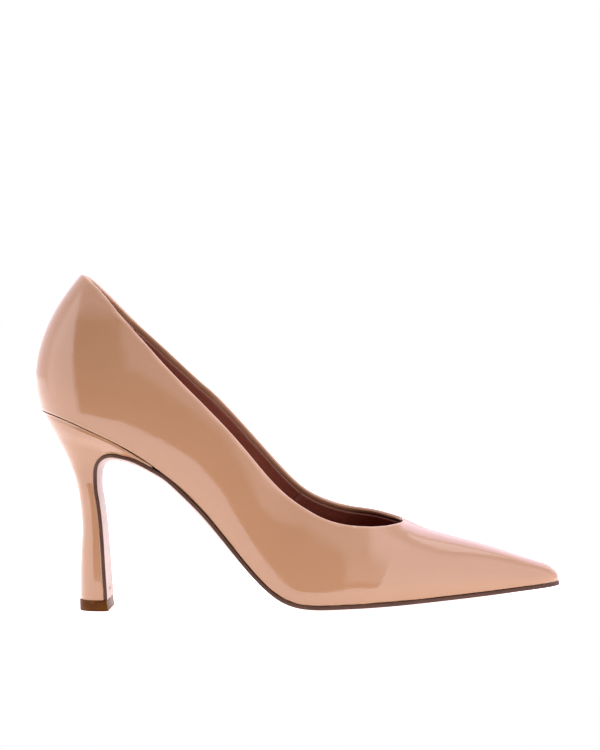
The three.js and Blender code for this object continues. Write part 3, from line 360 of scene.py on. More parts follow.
@dataclass(frozen=True)
class Finish:
    """A finish: its name, its slot, and its two shades."""

    name: str
    slot: str
    base: Colour
    tint: Colour

    def start(self) -> tuple[bpy.types.Material, Net, bpy.types.Node]:
        """Make the material and start its net.

        Returns:
            The material, its net and its Principled shader.
        """
        material = bpy.data.materials.new(self.name)
        material.use_nodes = True
        material.diffuse_color = (*self.base, 1.0)
        net = Net(material.node_tree)
        shader = net.add("BsdfPrincipled")
        outlet = net.add("OutputMaterial")
        net.tree.links.new(shader.outputs[0], outlet.inputs[0])
        return material, net, shader

    def shade(self, net: Net, scale: float, amount: float) -> bpy.types.NodeSocket:
        """The drift between the finish's two shades.

        Args:
            net: the material's net.
            scale: noise scale, per metre.
            amount: the most of the tint that shows.

        Returns:
            The colour's socket.
        """
        drift = net.add("Group", node_tree=Effects.drift())
        for label, value in {"Base": self.base, "Tint": self.tint, "Scale": scale, "Amount": amount}.items():
            net.feed(drift.inputs[label], value)
        return drift.outputs[0]

    def bump(self, net: Net, shader: bpy.types.Node, height: bpy.types.NodeSocket, strength: float,
             depth: float) -> None:
        """Feed a height to the shader's normal.

        Args:
            net: the material's net.
            shader: its Principled shader.
            height: the height's socket.
            strength: share of the bump that shows.
            depth: height of one unit, in metres.
        """
        node = net.add("Bump", {"Height": height, "Strength": strength, "Distance": depth})
        net.feed(shader.inputs["Normal"], node.outputs[0])

    def build(self) -> bpy.types.Material:
        """Make the material."""
        raise NotImplementedError


@dataclass(frozen=True)
class PatentLeather(Finish):
    """Leather under a clear poured coat, almost a mirror."""

    roughness: float = 0.055
    peel: float = 0.22

    def build(self) -> bpy.types.Material:
        """Make the material.

        Returns:
            The material.
        """
        material, net, shader = self.start()
        colour = self.shade(net, scale=38.0, amount=0.5)
        rim = net.add("Group", node_tree=Effects.rim()).outputs[0]
        # Painted highlight: the folded topline edge, found by the rim attribute, is painted paler to stand
        # in for the light line along it.
        rim_highlight = tuple(min(1.0, c * 1.25 + 0.05) for c in self.base)
        net.feed(shader.inputs["Base Color"], net.blend(net.maths("MULTIPLY", rim, 0.6), colour, rim_highlight))
        rubs = net.add("Group", node_tree=Effects.rubs()).outputs[0]
        haze = net.ramp(rubs, 0.0, 1.0, self.roughness, self.roughness + 0.05)
        net.feed(shader.inputs["Roughness"], haze)
        shader.inputs["IOR"].default_value = 1.5
        shader.inputs["Coat Weight"].default_value = 0.25
        shader.inputs["Coat Roughness"].default_value = 0.02
        peel = net.add("Group", node_tree=Effects.peel())
        self.bump(net, shader, peel.outputs[0], strength=self.peel, depth=0.00022)
        return material


@dataclass(frozen=True)
class LiningLeather(Finish):
    """Smooth kid lining, dark and soft, with a paler cut edge that is partly its own colour and partly a
    painted highlight.
    """

    # Cut edge colour: partly the raw edge's own paler colour, partly a painted highlight along the lining's
    # top.
    edge: Colour = (0.25, 0.10, 0.07)
    roughness: float = 0.5

    def build(self) -> bpy.types.Material:
        """Make the material.

        Returns:
            The material.
        """
        material, net, shader = self.start()
        colour = self.shade(net, scale=55.0, amount=0.8)
        grain = net.add("Group", {"Scale": 1300.0}, node_tree=Effects.pores())
        deep = tuple(c * 0.72 for c in self.base)
        colour = net.blend(net.maths("MULTIPLY", grain.outputs["Creases"], 0.4), colour, deep)
        rim = net.add("Group", node_tree=Effects.rim()).outputs[0]
        # The rim takes the paler edge colour: partly the raw cut edge, partly a painted highlight along the
        # lining's top.
        net.feed(shader.inputs["Base Color"], net.blend(rim, colour, self.edge))
        rubs = net.add("Group", node_tree=Effects.rubs()).outputs[0]
        net.feed(shader.inputs["Roughness"], net.ramp(rubs, 0.0, 1.0, self.roughness, self.roughness - 0.12))
        shader.inputs["Specular IOR Level"].default_value = 0.04
        self.bump(net, shader, grain.outputs["Height"], strength=0.35, depth=0.00012)
        return material


@dataclass(frozen=True)
class Suede(Finish):
    """Napped leather of the heel grip."""

    def build(self) -> bpy.types.Material:
        """Make the material.

        Returns:
            The material.
        """
        material, net, shader = self.start()
        colour = self.shade(net, scale=120.0, amount=1.0)
        place = net.add("TexCoord").outputs["Object"]
        nap = net.add("TexNoise", {"Vector": place, "Scale": 2600.0, "Detail": 3.0, "Roughness": 0.7})
        pale = tuple(min(1.0, c * 1.5) for c in self.base)
        fibre = net.blend(net.ramp(nap.outputs[0], 0.4, 0.7, 0.0, 0.5), colour, pale)
        rim = net.add("Group", node_tree=Effects.rim()).outputs[0]
        net.feed(shader.inputs["Base Color"], net.blend(rim, fibre, (0.36, 0.17, 0.13)))
        shader.inputs["Roughness"].default_value = 0.92
        shader.inputs["Specular IOR Level"].default_value = 0.2
        shader.inputs["Sheen Weight"].default_value = 0.6
        shader.inputs["Sheen Roughness"].default_value = 0.5
        self.bump(net, shader, nap.outputs[0], strength=0.5, depth=0.0002)
        return material


@dataclass(frozen=True)
class SoleLeather(Finish):
    """Polished sole leather, with long faint fibres."""

    roughness: float = 0.36

    def build(self) -> bpy.types.Material:
        """Make the material.

        Returns:
            The material.
        """
        material, net, shader = self.start()
        colour = self.shade(net, scale=28.0, amount=0.8)
        rubs = net.add("Group", {"Scale": 420.0}, node_tree=Effects.rubs()).outputs[0]
        pale = tuple(min(1.0, c * 1.35) for c in self.base)
        net.feed(shader.inputs["Base Color"], net.blend(net.maths("MULTIPLY", rubs, 0.5), colour, pale))
        net.feed(shader.inputs["Roughness"], net.ramp(rubs, 0.0, 1.0, self.roughness, self.roughness + 0.22))
        grain = net.add("Group", {"Scale": 1500.0}, node_tree=Effects.pores())
        shader.inputs["Specular IOR Level"].default_value = 0.4
        self.bump(net, shader, grain.outputs["Height"], strength=0.16, depth=0.0001)
        return material


@dataclass(frozen=True)
class EdgeInk(Finish):
    """Inked and waxed cut edge of the sole: fibres run along it."""

    def build(self) -> bpy.types.Material:
        """Make the material.

        Returns:
            The material.
        """
        material, net, shader = self.start()
        place = net.add("TexCoord").outputs["Object"]
        laid = net.add("Mapping", {"Vector": place, "Scale": (0.35, 0.35, 1.0)})
        fibre = net.add("TexNoise", {"Vector": laid.outputs[0], "Scale": 2400.0, "Detail": 3.0,
                                     "Roughness": 0.65})
        colour = self.shade(net, scale=90.0, amount=1.0)
        pale = tuple(min(1.0, c * 1.9) for c in self.base)
        share = net.ramp(fibre.outputs[0], 0.5, 0.75, 0.0, 0.45)
        net.feed(shader.inputs["Base Color"], net.blend(share, colour, pale))
        net.feed(shader.inputs["Roughness"], net.ramp(fibre.outputs[0], 0.3, 0.7, 0.42, 0.6))
        shader.inputs["Specular IOR Level"].default_value = 0.25
        self.bump(net, shader, fibre.outputs[0], strength=0.4, depth=0.00012)
        return material


@dataclass(frozen=True)
class Urethane(Finish):
    """Amber urethane of the top lift, cloudy under its surface."""

    def build(self) -> bpy.types.Material:
        """Make the material.

        Returns:
            The material.
        """
        material, net, shader = self.start()
        place = net.add("TexCoord").outputs["Object"]
        cloud = net.add("TexNoise", {"Vector": place, "Scale": 160.0, "Detail": 4.0, "Roughness": 0.6,
                                     "Distortion": 0.6})
        share = net.ramp(cloud.outputs[0], 0.35, 0.7)
        net.feed(shader.inputs["Base Color"], net.blend(share, self.base, self.tint))
        ground = net.add("Mapping", {"Vector": place, "Scale": (0.2, 0.2, 1.0)})
        lines = net.add("TexNoise", {"Vector": ground.outputs[0], "Scale": 3000.0, "Detail": 2.0})
        net.feed(shader.inputs["Roughness"], net.ramp(lines.outputs[0], 0.3, 0.7, 0.28, 0.46))
        shader.inputs["Specular IOR Level"].default_value = 0.05
        shader.inputs["Subsurface Weight"].default_value = 0.2
        shader.inputs["Subsurface Radius"].default_value = (1.0, 0.35, 0.1)
        shader.inputs["Subsurface Scale"].default_value = 0.0016
        self.bump(net, shader, lines.outputs[0], strength=0.3, depth=0.00008)
        return material


@dataclass(frozen=True)
class Metal(Finish):
    """Plain working metal, drawn or rolled, with faint tarnish."""

    roughness: float = 0.32

    def build(self) -> bpy.types.Material:
        """Make the material.

        Returns:
            The material.
        """
        material, net, shader = self.start()
        net.feed(shader.inputs["Base Color"], self.shade(net, scale=260.0, amount=0.9))
        rubs = net.add("Group", {"Scale": 1800.0}, node_tree=Effects.rubs()).outputs[0]
        net.feed(shader.inputs["Roughness"], net.ramp(rubs, 0.0, 1.0, self.roughness, self.roughness + 0.2))
        shader.inputs["Metallic"].default_value = 1.0
        self.bump(net, shader, rubs, strength=0.15, depth=0.00005)
        return material


@dataclass(frozen=True)
class Fibrous(Finish):
    """Board, stiffener, cork, foam and other fillings: a coarse matt body of specks and fibres."""

    scale: float = 900.0
    speck: float = 0.5
    depth: float = 0.0002

    def build(self) -> bpy.types.Material:
        """Make the material.

        Returns:
            The material.
        """
        material, net, shader = self.start()
        place = net.add("TexCoord").outputs["Object"]
        cells = net.add("TexVoronoi", {"Vector": place, "Scale": self.scale}, feature="F1")
        fuzz = net.add("TexNoise", {"Vector": place, "Scale": self.scale * 2.2, "Detail": 3.0})
        share = net.ramp(cells.outputs[0], 0.1, 0.7, 0.0, self.speck)
        body = self.shade(net, scale=70.0, amount=0.8)
        net.feed(shader.inputs["Base Color"], net.blend(share, body, self.tint))
        net.feed(shader.inputs["Roughness"], net.ramp(fuzz.outputs[0], 0.3, 0.7, 0.8, 0.95))
        relief = net.maths("ADD", cells.outputs[0], fuzz.outputs[0])
        self.bump(net, shader, relief, strength=0.5, depth=self.depth)
        return material


@dataclass(frozen=True)
class Moulded(Finish):
    """Moulded heel plastic, with a faint flow pattern."""

    def build(self) -> bpy.types.Material:
        """Make the material.

        Returns:
            The material.
        """
        material, net, shader = self.start()
        net.feed(shader.inputs["Base Color"], self.shade(net, scale=60.0, amount=0.7))
        peel = net.add("Group", {"Fine": 2200.0, "Broad": 300.0}, node_tree=Effects.peel()).outputs[0]
        net.feed(shader.inputs["Roughness"], net.ramp(peel, 1.4, 2.6, 0.3, 0.42))
        self.bump(net, shader, peel, strength=0.1, depth=0.0001)
        return material


@dataclass(frozen=True)
class Wardrobe:
    """Every finish of the shoe."""

    upper: Finish = PatentLeather("patent_tan", "patent_leather",
                                  (0.358, 0.187, 0.098), (0.368, 0.195, 0.105))
    lining: Finish = LiningLeather("kid_brown", "lining_leather",
                                   (0.230, 0.064, 0.038), (0.262, 0.078, 0.048))
    grip: Finish = Suede("suede_brown", "suede_lining", (0.115, 0.036, 0.026), (0.150, 0.050, 0.035))
    sole: Finish = SoleLeather("sole_polished", "sole_leather", (0.30, 0.17, 0.115), (0.34, 0.20, 0.14))
    edge: Finish = EdgeInk("sole_edge_ink", "sole_leather", (0.056, 0.023, 0.013), (0.074, 0.032, 0.018))
    lift: Finish = Urethane("amber_urethane", "lift_urethane", (0.075, 0.024, 0.004), (0.125, 0.043, 0.006))
    board: Finish = Fibrous("insole_board", "insole_fibreboard", (0.42, 0.29, 0.16), (0.32, 0.21, 0.11))
    stiff: Finish = Fibrous("stiffener_cloth", "stiffener_fabric",
                            (0.62, 0.56, 0.44), (0.5, 0.45, 0.34), 1500.0)
    foam: Finish = Fibrous("latex_foam", "latex_foam",
                           (0.82, 0.78, 0.66), (0.66, 0.6, 0.46), 1800.0, 0.35, 0.0003)
    cork: Finish = Fibrous("ground_cork", "cork_filler",
                           (0.42, 0.27, 0.14), (0.2, 0.11, 0.05), 500.0, 0.8, 0.0004)
    heel: Finish = Moulded("heel_plastic", "heel_plastic", (0.74, 0.70, 0.62), (0.68, 0.63, 0.54))
    steel: Finish = Metal("bright_steel", "shank_steel", (0.48, 0.49, 0.50), (0.36, 0.35, 0.34))
    zinc: Finish = Metal("zinc_plate", "fastener_steel", (0.62, 0.62, 0.63), (0.5, 0.5, 0.48), 0.26)
    blued: Finish = Metal("blued_steel", "dark_tack_steel", (0.05, 0.042, 0.04), (0.09, 0.07, 0.06), 0.36)
    made: dict[str, bpy.types.Material] = field(default_factory=dict)

    def cut(self, finish: Finish) -> bpy.types.Material:
        """Fetch the material of a finish, which is built the first time it is asked for.

        Args:
            finish: the finish.

        Returns:
            Its material.
        """
        if finish.name not in self.made:
            self.made[finish.name] = finish.build()
        return self.made[finish.name]


# -----------------------------------------------------------------------------------------------
# Bench work: copying, welding and refining
# -----------------------------------------------------------------------------------------------
def take_up(piece: bpy.types.Object) -> None:
    """Select one object alone and make it active.

    Args:
        piece: the object.
    """
    bpy.ops.object.select_all(action="DESELECT")
    piece.select_set(True)
    bpy.context.view_layer.objects.active = piece


def lay_in(piece: bpy.types.Object, modifier: bpy.types.Modifier) -> None:
    """Apply a modifier to a piece."""
    take_up(piece)
    bpy.ops.object.modifier_apply(modifier=modifier.name)


def smooth_by_angle(piece: bpy.types.Object, degrees: float) -> None:
    """Shade a piece smooth, but not across corners sharper than an angle."""
    take_up(piece)
    bpy.ops.object.shade_smooth_by_angle(angle=math.radians(degrees))


@dataclass
class Bench:
    """Where a solid of the frame becomes a finished piece."""

    wardrobe: Wardrobe
    made: list[str] = field(default_factory=list)

    def copy_of(self, node: str, name: str) -> bpy.types.Object:
        """Copy a node into a new object with its own welded mesh of quads.

        Args:
            node: the frame's node.
            name: the new piece's name.

        Returns:
            The new object.
        """
        piece = bpy.data.objects.new(name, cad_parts[node].data.copy())
        piece.data.name = name
        bpy.context.scene.collection.objects.link(piece)
        take_up(piece)
        bpy.ops.mesh.customdata_custom_splitnormals_clear()
        bpy.ops.object.mode_set(mode="EDIT")
        bpy.ops.mesh.select_all(action="SELECT")
        bpy.ops.mesh.remove_doubles(threshold=WELD)
        bpy.ops.mesh.tris_convert_to_quads(face_threshold=math.radians(QUAD_BEND),
                                           shape_threshold=math.radians(QUAD_SKEW))
        bpy.ops.object.mode_set(mode="OBJECT")
        return piece

    def hold_edges(self, piece: bpy.types.Object, hold: float, sharpness: float = 38.0) -> None:
        """Crease the corners of a piece, and mark its thin faces that look up in the rim attribute.

        Args:
            piece: the piece.
            hold: crease of its corners, 0 to 1.
            sharpness: smallest corner, in degrees.
        """
        mesh = bmesh.new()
        mesh.from_mesh(piece.data)
        crease = mesh.edges.layers.float.new("crease_edge")
        rim = mesh.verts.layers.float.new("rim")
        limit = math.radians(sharpness)
        for edge in mesh.edges:
            if len(edge.link_faces) == 2 and edge.calc_face_angle(0.0) > limit:
                edge[crease] = hold
        for face in mesh.faces:
            if len(face.edges) != 4 or face.normal.z < RIM_RISE:
                continue
            corners = [e for e in face.edges if e[crease] > 0]
            if len(corners) >= 2 and min(e.calc_length() for e in face.edges) < RIM_WIDTH:
                for vertex in face.verts:
                    vertex[rim] = 1.0
        mesh.to_mesh(piece.data)
        mesh.free()

    def refine(self, piece: bpy.types.Object) -> None:
        """Subdivide a piece so that its smooth surface still passes through its own corners.

        Args:
            piece: the piece.
        """
        wanted = [v.co.copy() for v in piece.data.vertices]
        modifier = piece.modifiers.new("smooth", "SUBSURF")
        modifier.levels = modifier.render_levels = SUBDIVISIONS
        modifier.boundary_smooth = "PRESERVE_CORNERS"
        for _ in range(CORRECTIONS):
            bpy.context.view_layer.update()
            shown = piece.evaluated_get(bpy.context.evaluated_depsgraph_get()).data
            for i, target in enumerate(wanted):
                slip = target - shown.vertices[i].co
                if slip.length < LARGEST_SLIP:
                    piece.data.vertices[i].co += slip
            piece.data.update()
        lay_in(piece, modifier)
        take_up(piece)
        bpy.ops.object.shade_smooth()

    def finish(self, piece: bpy.types.Object, finishes: list[Finish], nodes: list[str]) -> bpy.types.Object:
        """Dress a piece, fix it to the frame and hide the frame's nodes that it replaces.

        Args:
            piece: the piece.
            finishes: its finishes, in the order of its faces' material numbers.
            nodes: the frame's nodes that it replaces.

        Returns:
            The piece.
        """
        while len(piece.data.materials) < len(finishes):
            piece.data.materials.append(None)
        for number, finish in enumerate(finishes):
            piece.data.materials[number] = self.wardrobe.cut(finish)
        if nodes:
            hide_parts(*nodes)
        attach(piece, "root")
        self.made.append(piece.name)
        log.info("%s: %d faces", piece.name, len(piece.data.polygons))
        return piece

    def skin(self, node: str, name: str, finish: Finish, hold: Edge) -> bpy.types.Object:
        """Turn a node into one smooth piece of one finish.

        Args:
            node: the frame's node.
            name: the new piece's name.
            finish: its finish.
            hold: how firmly its edges hold.

        Returns:
            The piece.
        """
        piece = self.copy_of(node, name)
        self.hold_edges(piece, hold.value)
        self.refine(piece)
        return self.finish(piece, [finish], [node])

    def keep(self, node: str, finish: Finish) -> None:
        """Leave a node as it is, in a better finish.

        Args:
            node: the frame's node.
            finish: its finish.
        """
        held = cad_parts[node]
        material = self.wardrobe.cut(finish)
        if not held.material_slots:
            held.data.materials.append(material)
        for place in held.material_slots:
            place.material = material
        self.made.append(node)
        log.info("%s kept", node)


# -----------------------------------------------------------------------------------------------
# Sub-assemblies
# -----------------------------------------------------------------------------------------------
@dataclass
class Upper:
    """The glossy outside leather: one long piece round the toe and outer side, one inner quarter."""

    bench: Bench

    def build(self) -> None:
        """Make both pieces of the upper."""
        finish = self.bench.wardrobe.upper
        self.bench.skin("upper_main", "upper_leather", finish, Edge.ROLLED)
        self.bench.skin("upper_medial_quarter", "quarter_leather", finish, Edge.ROLLED)


@dataclass
class Lining:
    """Everything between the upper and the foot: linings, heel grip, counter and puff."""

    bench: Bench

    def build(self) -> None:
        """Make the linings and dress the hidden stiffeners."""
        wear = self.bench.wardrobe
        self.bench.skin("vamp_lining", "vamp_lining_kid", wear.lining, Edge.CUT)
        sides = {Foot.OUTER: "quarter_lining_lateral", Foot.INNER: "quarter_lining_medial"}
        for side, node in sides.items():
            self.bench.skin(node, f"quarter_lining_kid_{side.name.lower()}", wear.lining, Edge.CUT)
        self.bench.skin("heel_grip", "heel_grip_suede", wear.grip, Edge.CUT)
        self.bench.keep("heel_counter", wear.stiff)
        self.bench.keep("toe_puff", wear.stiff)


@dataclass
class Footbed:
    """Insole board, shank, foam and the sock that the foot stands on."""

    bench: Bench
    foam_fill: float = 0.3

    def build(self) -> None:
        """Make the sock and its foam, and dress the board and the shank."""
        wear = self.bench.wardrobe
        self.bench.skin("sock_lining", "sock_kid", wear.lining, Edge.CUT)
        foam = self.bench.skin("sock_foam", "sock_foam_latex", wear.foam, Edge.ROLLED)
        self.bench.keep("insole_board", wear.board)
        self.bench.keep("bottom_filler", wear.cork)
        self.bench.keep("steel_shank", wear.steel)
        self.bench.keep("shank_rivet_back", wear.zinc)
        self.bench.keep("shank_rivet_front", wear.zinc)


@dataclass
class Sole:
    """The outsole, which runs from the toe to the foot of the heel breast."""

    bench: Bench
    edge_width: float = 2.1 * MM
    edge_corner: float = 0.7

    def build(self) -> None:
        """Make the sole, with its inked edge as a second finish."""
        wear = self.bench.wardrobe
        piece = self.bench.copy_of("outsole", "outsole_leather")
        self.bench.hold_edges(piece, Edge.CUT.value)
        self.ink_edge(piece)
        self.bench.refine(piece)
        self.bench.finish(piece, [wear.sole, wear.edge], ["outsole"])

    def ink_edge(self, piece: bpy.types.Object) -> None:
        """Number the thin faces round the rim as inked.

        Args:
            piece: the sole, before it is subdivided.
        """
        mesh = bmesh.new()
        mesh.from_mesh(piece.data)
        for face in mesh.faces:
            across = sorted(edge.calc_length() for edge in face.edges)
            thin = len(face.edges) == 4 and across[1] < self.edge_width and across[2] > across[1]
            bends = (edge.calc_face_angle(0.0) for edge in face.edges if edge.is_manifold)
            crisp = sum(bend > self.edge_corner for bend in bends)
            if thin and crisp >= 2:
                face.material_index = 1
        mesh.to_mesh(piece.data)
        mesh.free()


@dataclass
class TopLift:
    """The urethane lift under the heel, and the tack that holds the sole's end."""

    bench: Bench
    lift_round: float = 0.35 * MM
    lift_corner: float = 40.0
    lift_smooth: float = 32.0
    tack_sides: int = 24
    shaft_radius: float = 0.62 * MM
    point_length: float = 0.02 * MM
    point_share: float = 0.35
    head_height: float = 0.4 * MM
    head_flare: float = 1.75
    head_rim: float = 0.18 * MM
    head_dome: tuple[tuple[float, float], ...] = ((0.25 * MM, 0.1 * MM), (0.3 * MM, 0.05 * MM))
    tack_round: float = 0.05 * MM
    tack_smooth: float = 50.0
    facing: float = 0.9

    def build(self) -> None:
        """Make the lift and the tack, and dress the lift's pin."""
        wear = self.bench.wardrobe
        lift = self.bench.copy_of("top_lift", "top_lift_urethane")
        bevel = lift.modifiers.new("round", "BEVEL")
        bevel.width = self.lift_round
        bevel.segments = 3
        bevel.limit_method = "ANGLE"
        bevel.angle_limit = math.radians(self.lift_corner)
        lay_in(lift, bevel)
        smooth_by_angle(lift, self.lift_smooth)
        self.bench.finish(lift, [wear.lift], ["top_lift"])
        self.tack()
        self.bench.keep("top_lift_pin", wear.zinc)

    def tack(self) -> None:
        """Model the breast tack from a cylinder: shaft, point and a domed head."""
        low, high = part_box("breast_tack")
        middle = (low + high) / 2
        reach = high.x - low.x
        shaft = reach - self.head_height
        bpy.ops.object.select_all(action="DESELECT")
        bpy.ops.mesh.primitive_cylinder_add(vertices=self.tack_sides, radius=self.shaft_radius, depth=shaft,
                                            end_fill_type="NGON", location=(0.0, 0.0, shaft / 2))
        piece = bpy.context.active_object
        piece.name = piece.data.name = "breast_tack_domed"
        bpy.ops.object.mode_set(mode="EDIT")
        self.pick(piece, lambda face: face.normal.z < -self.facing)
        bpy.ops.mesh.extrude_region_move(TRANSFORM_OT_translate={"value": (0.0, 0.0, -self.point_length)})
        bpy.ops.transform.resize(value=(self.point_share, self.point_share, 1.0))
        self.pick(piece, lambda face: face.normal.z > self.facing)
        bpy.ops.mesh.extrude_region_move(TRANSFORM_OT_translate={"value": (0.0, 0.0, 0.0)})
        bpy.ops.transform.resize(value=(self.head_flare, self.head_flare, 1.0))
        bpy.ops.mesh.extrude_region_move(TRANSFORM_OT_translate={"value": (0.0, 0.0, self.head_rim)})
        for inward, outward in self.head_dome:
            bpy.ops.mesh.inset(thickness=inward, depth=outward)
        bpy.ops.mesh.select_all(action="SELECT")
        bpy.ops.mesh.normals_make_consistent(inside=False)
        bpy.ops.object.mode_set(mode="OBJECT")
        turn = Matrix.Translation((low.x, middle.y, middle.z)) @ Matrix.Rotation(math.radians(90), 4, "Y")
        piece.data.transform(turn)
        bevel = piece.modifiers.new("soften", "BEVEL")
        bevel.width = self.tack_round
        bevel.segments = 2
        bevel.limit_method = "ANGLE"
        lay_in(piece, bevel)
        smooth_by_angle(piece, self.tack_smooth)
        self.bench.finish(piece, [self.bench.wardrobe.blued], ["breast_tack"])

    @staticmethod
    def pick(piece: bpy.types.Object, wanted: Callable[[bmesh.types.BMFace], bool]) -> None:
        """Select the faces of the piece being edited that pass a test.

        Args:
            piece: the piece, in edit mode.
            wanted: says whether a face is picked.
        """
        bpy.ops.mesh.select_mode(type="FACE")
        bpy.ops.mesh.select_all(action="DESELECT")
        mesh = bmesh.from_edit_mesh(piece.data)
        mesh.normal_update()
        for face in mesh.faces:
            face.select_set(wanted(face))
        bmesh.update_edit_mesh(piece.data)


@dataclass
class Heel:
    """The moulded heel, its leather cover, its steel tube and what fixes it to the seat."""

    bench: Bench
    nails: int = 5

    def build(self) -> None:
        """Make the cover and dress the rest."""
        wear = self.bench.wardrobe
        self.bench.skin("heel_cover", "heel_cover_leather", wear.upper, Edge.CUT)
        self.bench.keep("heel_core", wear.heel)
        self.bench.keep("heel_tube", wear.steel)
        self.bench.keep("heel_screw", wear.zinc)
        for number in range(1, self.nails + 1):
            self.bench.keep(f"heel_nail_{number}", wear.zinc)


# -----------------------------------------------------------------------------------------------
# Studio
# -----------------------------------------------------------------------------------------------
@dataclass(frozen=True)
class Patch:
    """A patch of the room's light, bounded by the direction from which it shines.

    Each bound is an axis with the value where the patch is gone and the value where it is full.
    """

    colour: Colour
    bounds: tuple[tuple[str, float, float], ...]

    def mask(self, net: Net, way: dict[str, bpy.types.NodeSocket]) -> bpy.types.NodeSocket:
        """The share of the patch in each direction.

        Args:
            net: the world's net.
            way: the direction's sockets by axis.

        Returns:
            The mask's socket.
        """
        share = None
        for axis, gone, full in self.bounds:
            part = net.ramp(way[axis], gone, full)
            share = part if share is None else net.maths("MULTIPLY", share, part)
        return share


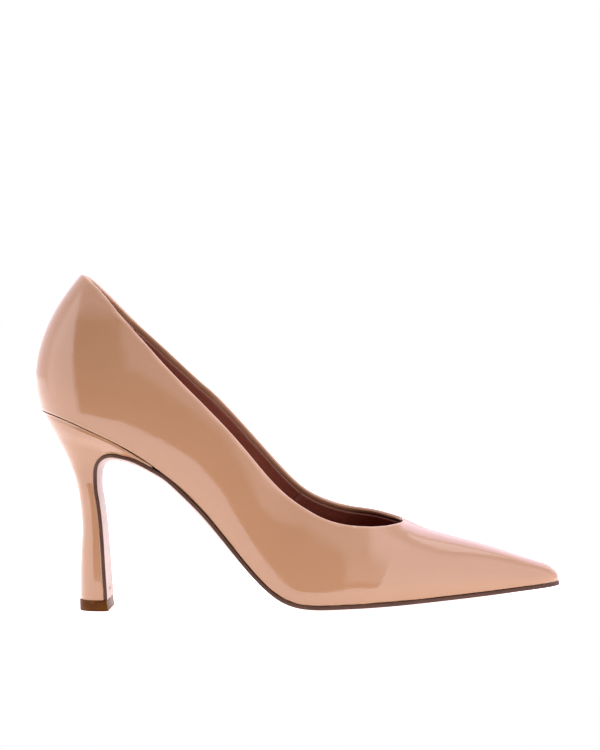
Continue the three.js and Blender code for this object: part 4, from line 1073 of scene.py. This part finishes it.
@dataclass
class Studio:
    """Camera, floor and light."""

    eye: tuple[float, float, float] = (0.0512, -1.0007, 0.1400)
    yaw: float = 2.75
    pitch: float = 2.1
    roll: float = -2.0
    lens: float = 106.0
    shift: float = 0.001
    floor_half: float = 6.0
    floor_front: float = 0.19
    floor_turn: float = 16.0
    floor_pivot: float = -0.1
    floor_drop: float = 0.05 * MM
    floor_glow: float = 0.98
    wall: Colour = (1.5, 1.4, 1.6)
    ceiling: Colour = (1.15, 1.13, 1.25)
    ceiling_rise: tuple[float, float] = (0.3, 0.8)
    heel_panel: Patch = Patch((2.8, 2.6, 2.75), (("y", 0.25, -0.1), ("x", -0.6, -0.72)))
    toe_panel: Patch = Patch((2.5, 2.4, 2.7), (("y", 0.25, -0.1), ("x", 0.40, 0.54)))
    back_panel: Patch = Patch((2.5, 2.2, 2.8), (("y", 0.4, 0.6), ("x", 0.02, 0.12), ("z", 0.3, 0.4),
                                                ("z", 0.85, 0.7)))
    dark: Patch = Patch((0.05, 0.045, 0.04), (("y", -0.3, -0.5), ("z", 0.78, 0.6), ("x", -0.72, -0.6),
                                              ("x", 0.56, 0.40)))
    haze_most: float = 0.7
    haze_side: tuple[float, float] = (0.0, 0.14)
    haze_rise: tuple[float, float] = (0.06, 0.22)
    box_at: tuple[float, float, float] = (0.1, 0.5, 1.7)
    box_aim: tuple[float, float, float] = (0.0, 0.0, 0.05)
    box_size: tuple[float, float] = (1.6, 1.0)
    box_watts: float = 8.0
    box_colour: Colour = (1.0, 0.97, 1.0)

    def build(self) -> None:
        """Set up the studio."""
        self.camera()
        self.floor()
        self.surround()
        self.lamp()
        bpy.context.scene.view_settings.view_transform = "Standard"

    def camera(self) -> None:
        """Place the camera by its eye point and its three angles."""
        yaw, pitch, roll = (math.radians(a) for a in (self.yaw, self.pitch, self.roll))
        ahead = Vector((-math.sin(yaw) * math.cos(pitch), math.cos(yaw) * math.cos(pitch), -math.sin(pitch)))
        level = ahead.cross(Vector((0, 0, 1))).normalized()
        upright = level.cross(ahead)
        right = level * math.cos(roll) + upright * math.sin(roll)
        up = upright * math.cos(roll) - level * math.sin(roll)
        data = bpy.data.cameras.new("camera")
        data.lens = self.lens
        data.shift_y = self.shift
        data.sensor_width = 36.0
        data.sensor_fit = "AUTO"
        data.clip_start, data.clip_end = 0.01, 50.0
        camera = bpy.data.objects.new("camera", data)
        bpy.context.scene.collection.objects.link(camera)
        turn = Matrix((right, up, -ahead)).transposed().to_4x4()
        camera.matrix_world = Matrix.Translation(self.eye) @ turn
        bpy.context.scene.camera = camera

    def floor(self) -> None:
        """Lay a plain pale floor, lit through like a light table."""
        bpy.ops.object.select_all(action="DESELECT")
        turn = math.radians(self.floor_turn)
        reach = self.floor_half - self.floor_front * math.cos(turn)
        middle = (math.sin(turn) * reach + self.floor_pivot, math.cos(turn) * reach, -self.floor_drop)
        bpy.ops.mesh.primitive_plane_add(size=2 * self.floor_half, location=middle,
                                         rotation=(0, 0, math.radians(-self.floor_turn)))
        floor = bpy.context.active_object
        floor.name = "studio_floor"
        material = bpy.data.materials.new("studio_floor")
        material.use_nodes = True
        net = Net(material.node_tree)
        shader = net.add("BsdfPrincipled", {"Base Color": (0.9, 0.9, 0.9), "Roughness": 0.8,
                                            "Specular IOR Level": 0.1, "Emission Color": (1.0, 0.98, 1.0),
                                            "Emission Strength": self.floor_glow})
        outlet = net.add("OutputMaterial")
        net.tree.links.new(shader.outputs[0], outlet.inputs[0])
        floor.data.materials.append(material)

    def surround(self) -> None:
        """Light the room: walls, ceiling and three panels, with a dim stretch in front of the shoe."""
        world = bpy.data.worlds.new("studio")
        bpy.context.scene.world = world
        world.use_nodes = True
        net = Net(world.node_tree)
        split = net.add("SeparateXYZ", {0: net.add("TexCoord").outputs["Generated"]})
        way = dict(zip("xyz", split.outputs))
        glow = net.blend(net.ramp(way["z"], *self.ceiling_rise), self.wall, self.ceiling)
        for panel in (self.heel_panel, self.toe_panel, self.back_panel):
            glow = net.blend(panel.mask(net, way), glow, panel.colour)
        side = net.ramp(way["x"], *self.haze_side, 0.0, self.haze_most)
        haze = net.maths("MULTIPLY", side, net.ramp(way["z"], *self.haze_rise))
        dim = net.maths("MULTIPLY", self.dark.mask(net, way), net.maths("SUBTRACT", 1.0, haze))
        glow = net.blend(dim, glow, self.dark.colour)
        seen = net.add("LightPath").outputs["Is Camera Ray"]
        colour = net.blend(seen, glow, (1.0, 1.0, 1.0))
        shader = net.add("Background", {"Color": colour, "Strength": 1.0})
        outlet = net.add("OutputWorld")
        net.tree.links.new(shader.outputs[0], outlet.inputs[0])

    def lamp(self) -> None:
        """Hang the one soft box, high behind the shoe."""
        data = bpy.data.lights.new("top_box", "AREA")
        data.shape = "RECTANGLE"
        data.size, data.size_y = self.box_size
        data.energy = self.box_watts
        data.color = self.box_colour
        lamp = bpy.data.objects.new("top_box", data)
        bpy.context.scene.collection.objects.link(lamp)
        look = Vector(self.box_aim) - Vector(self.box_at)
        turn = look.to_track_quat("-Z", "Y").to_matrix().to_4x4()
        lamp.matrix_world = Matrix.Translation(self.box_at) @ turn
        lamp.visible_camera = False


def main() -> None:
    """Build the shoe piece by piece, then the studio."""
    logging.basicConfig(level=logging.INFO, format="%(message)s")
    bench = Bench(Wardrobe())
    for assembly in (Upper, Lining, Footbed, Sole, Heel, TopLift):
        assembly(bench).build()
        log.info("%s done", assembly.__name__)
    Studio().build()
    behind = sorted(set(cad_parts) - set(bench.made))
    log.info("nodes behind refined pieces: %s", ", ".join(behind))


if __name__ == "__main__":
    main()
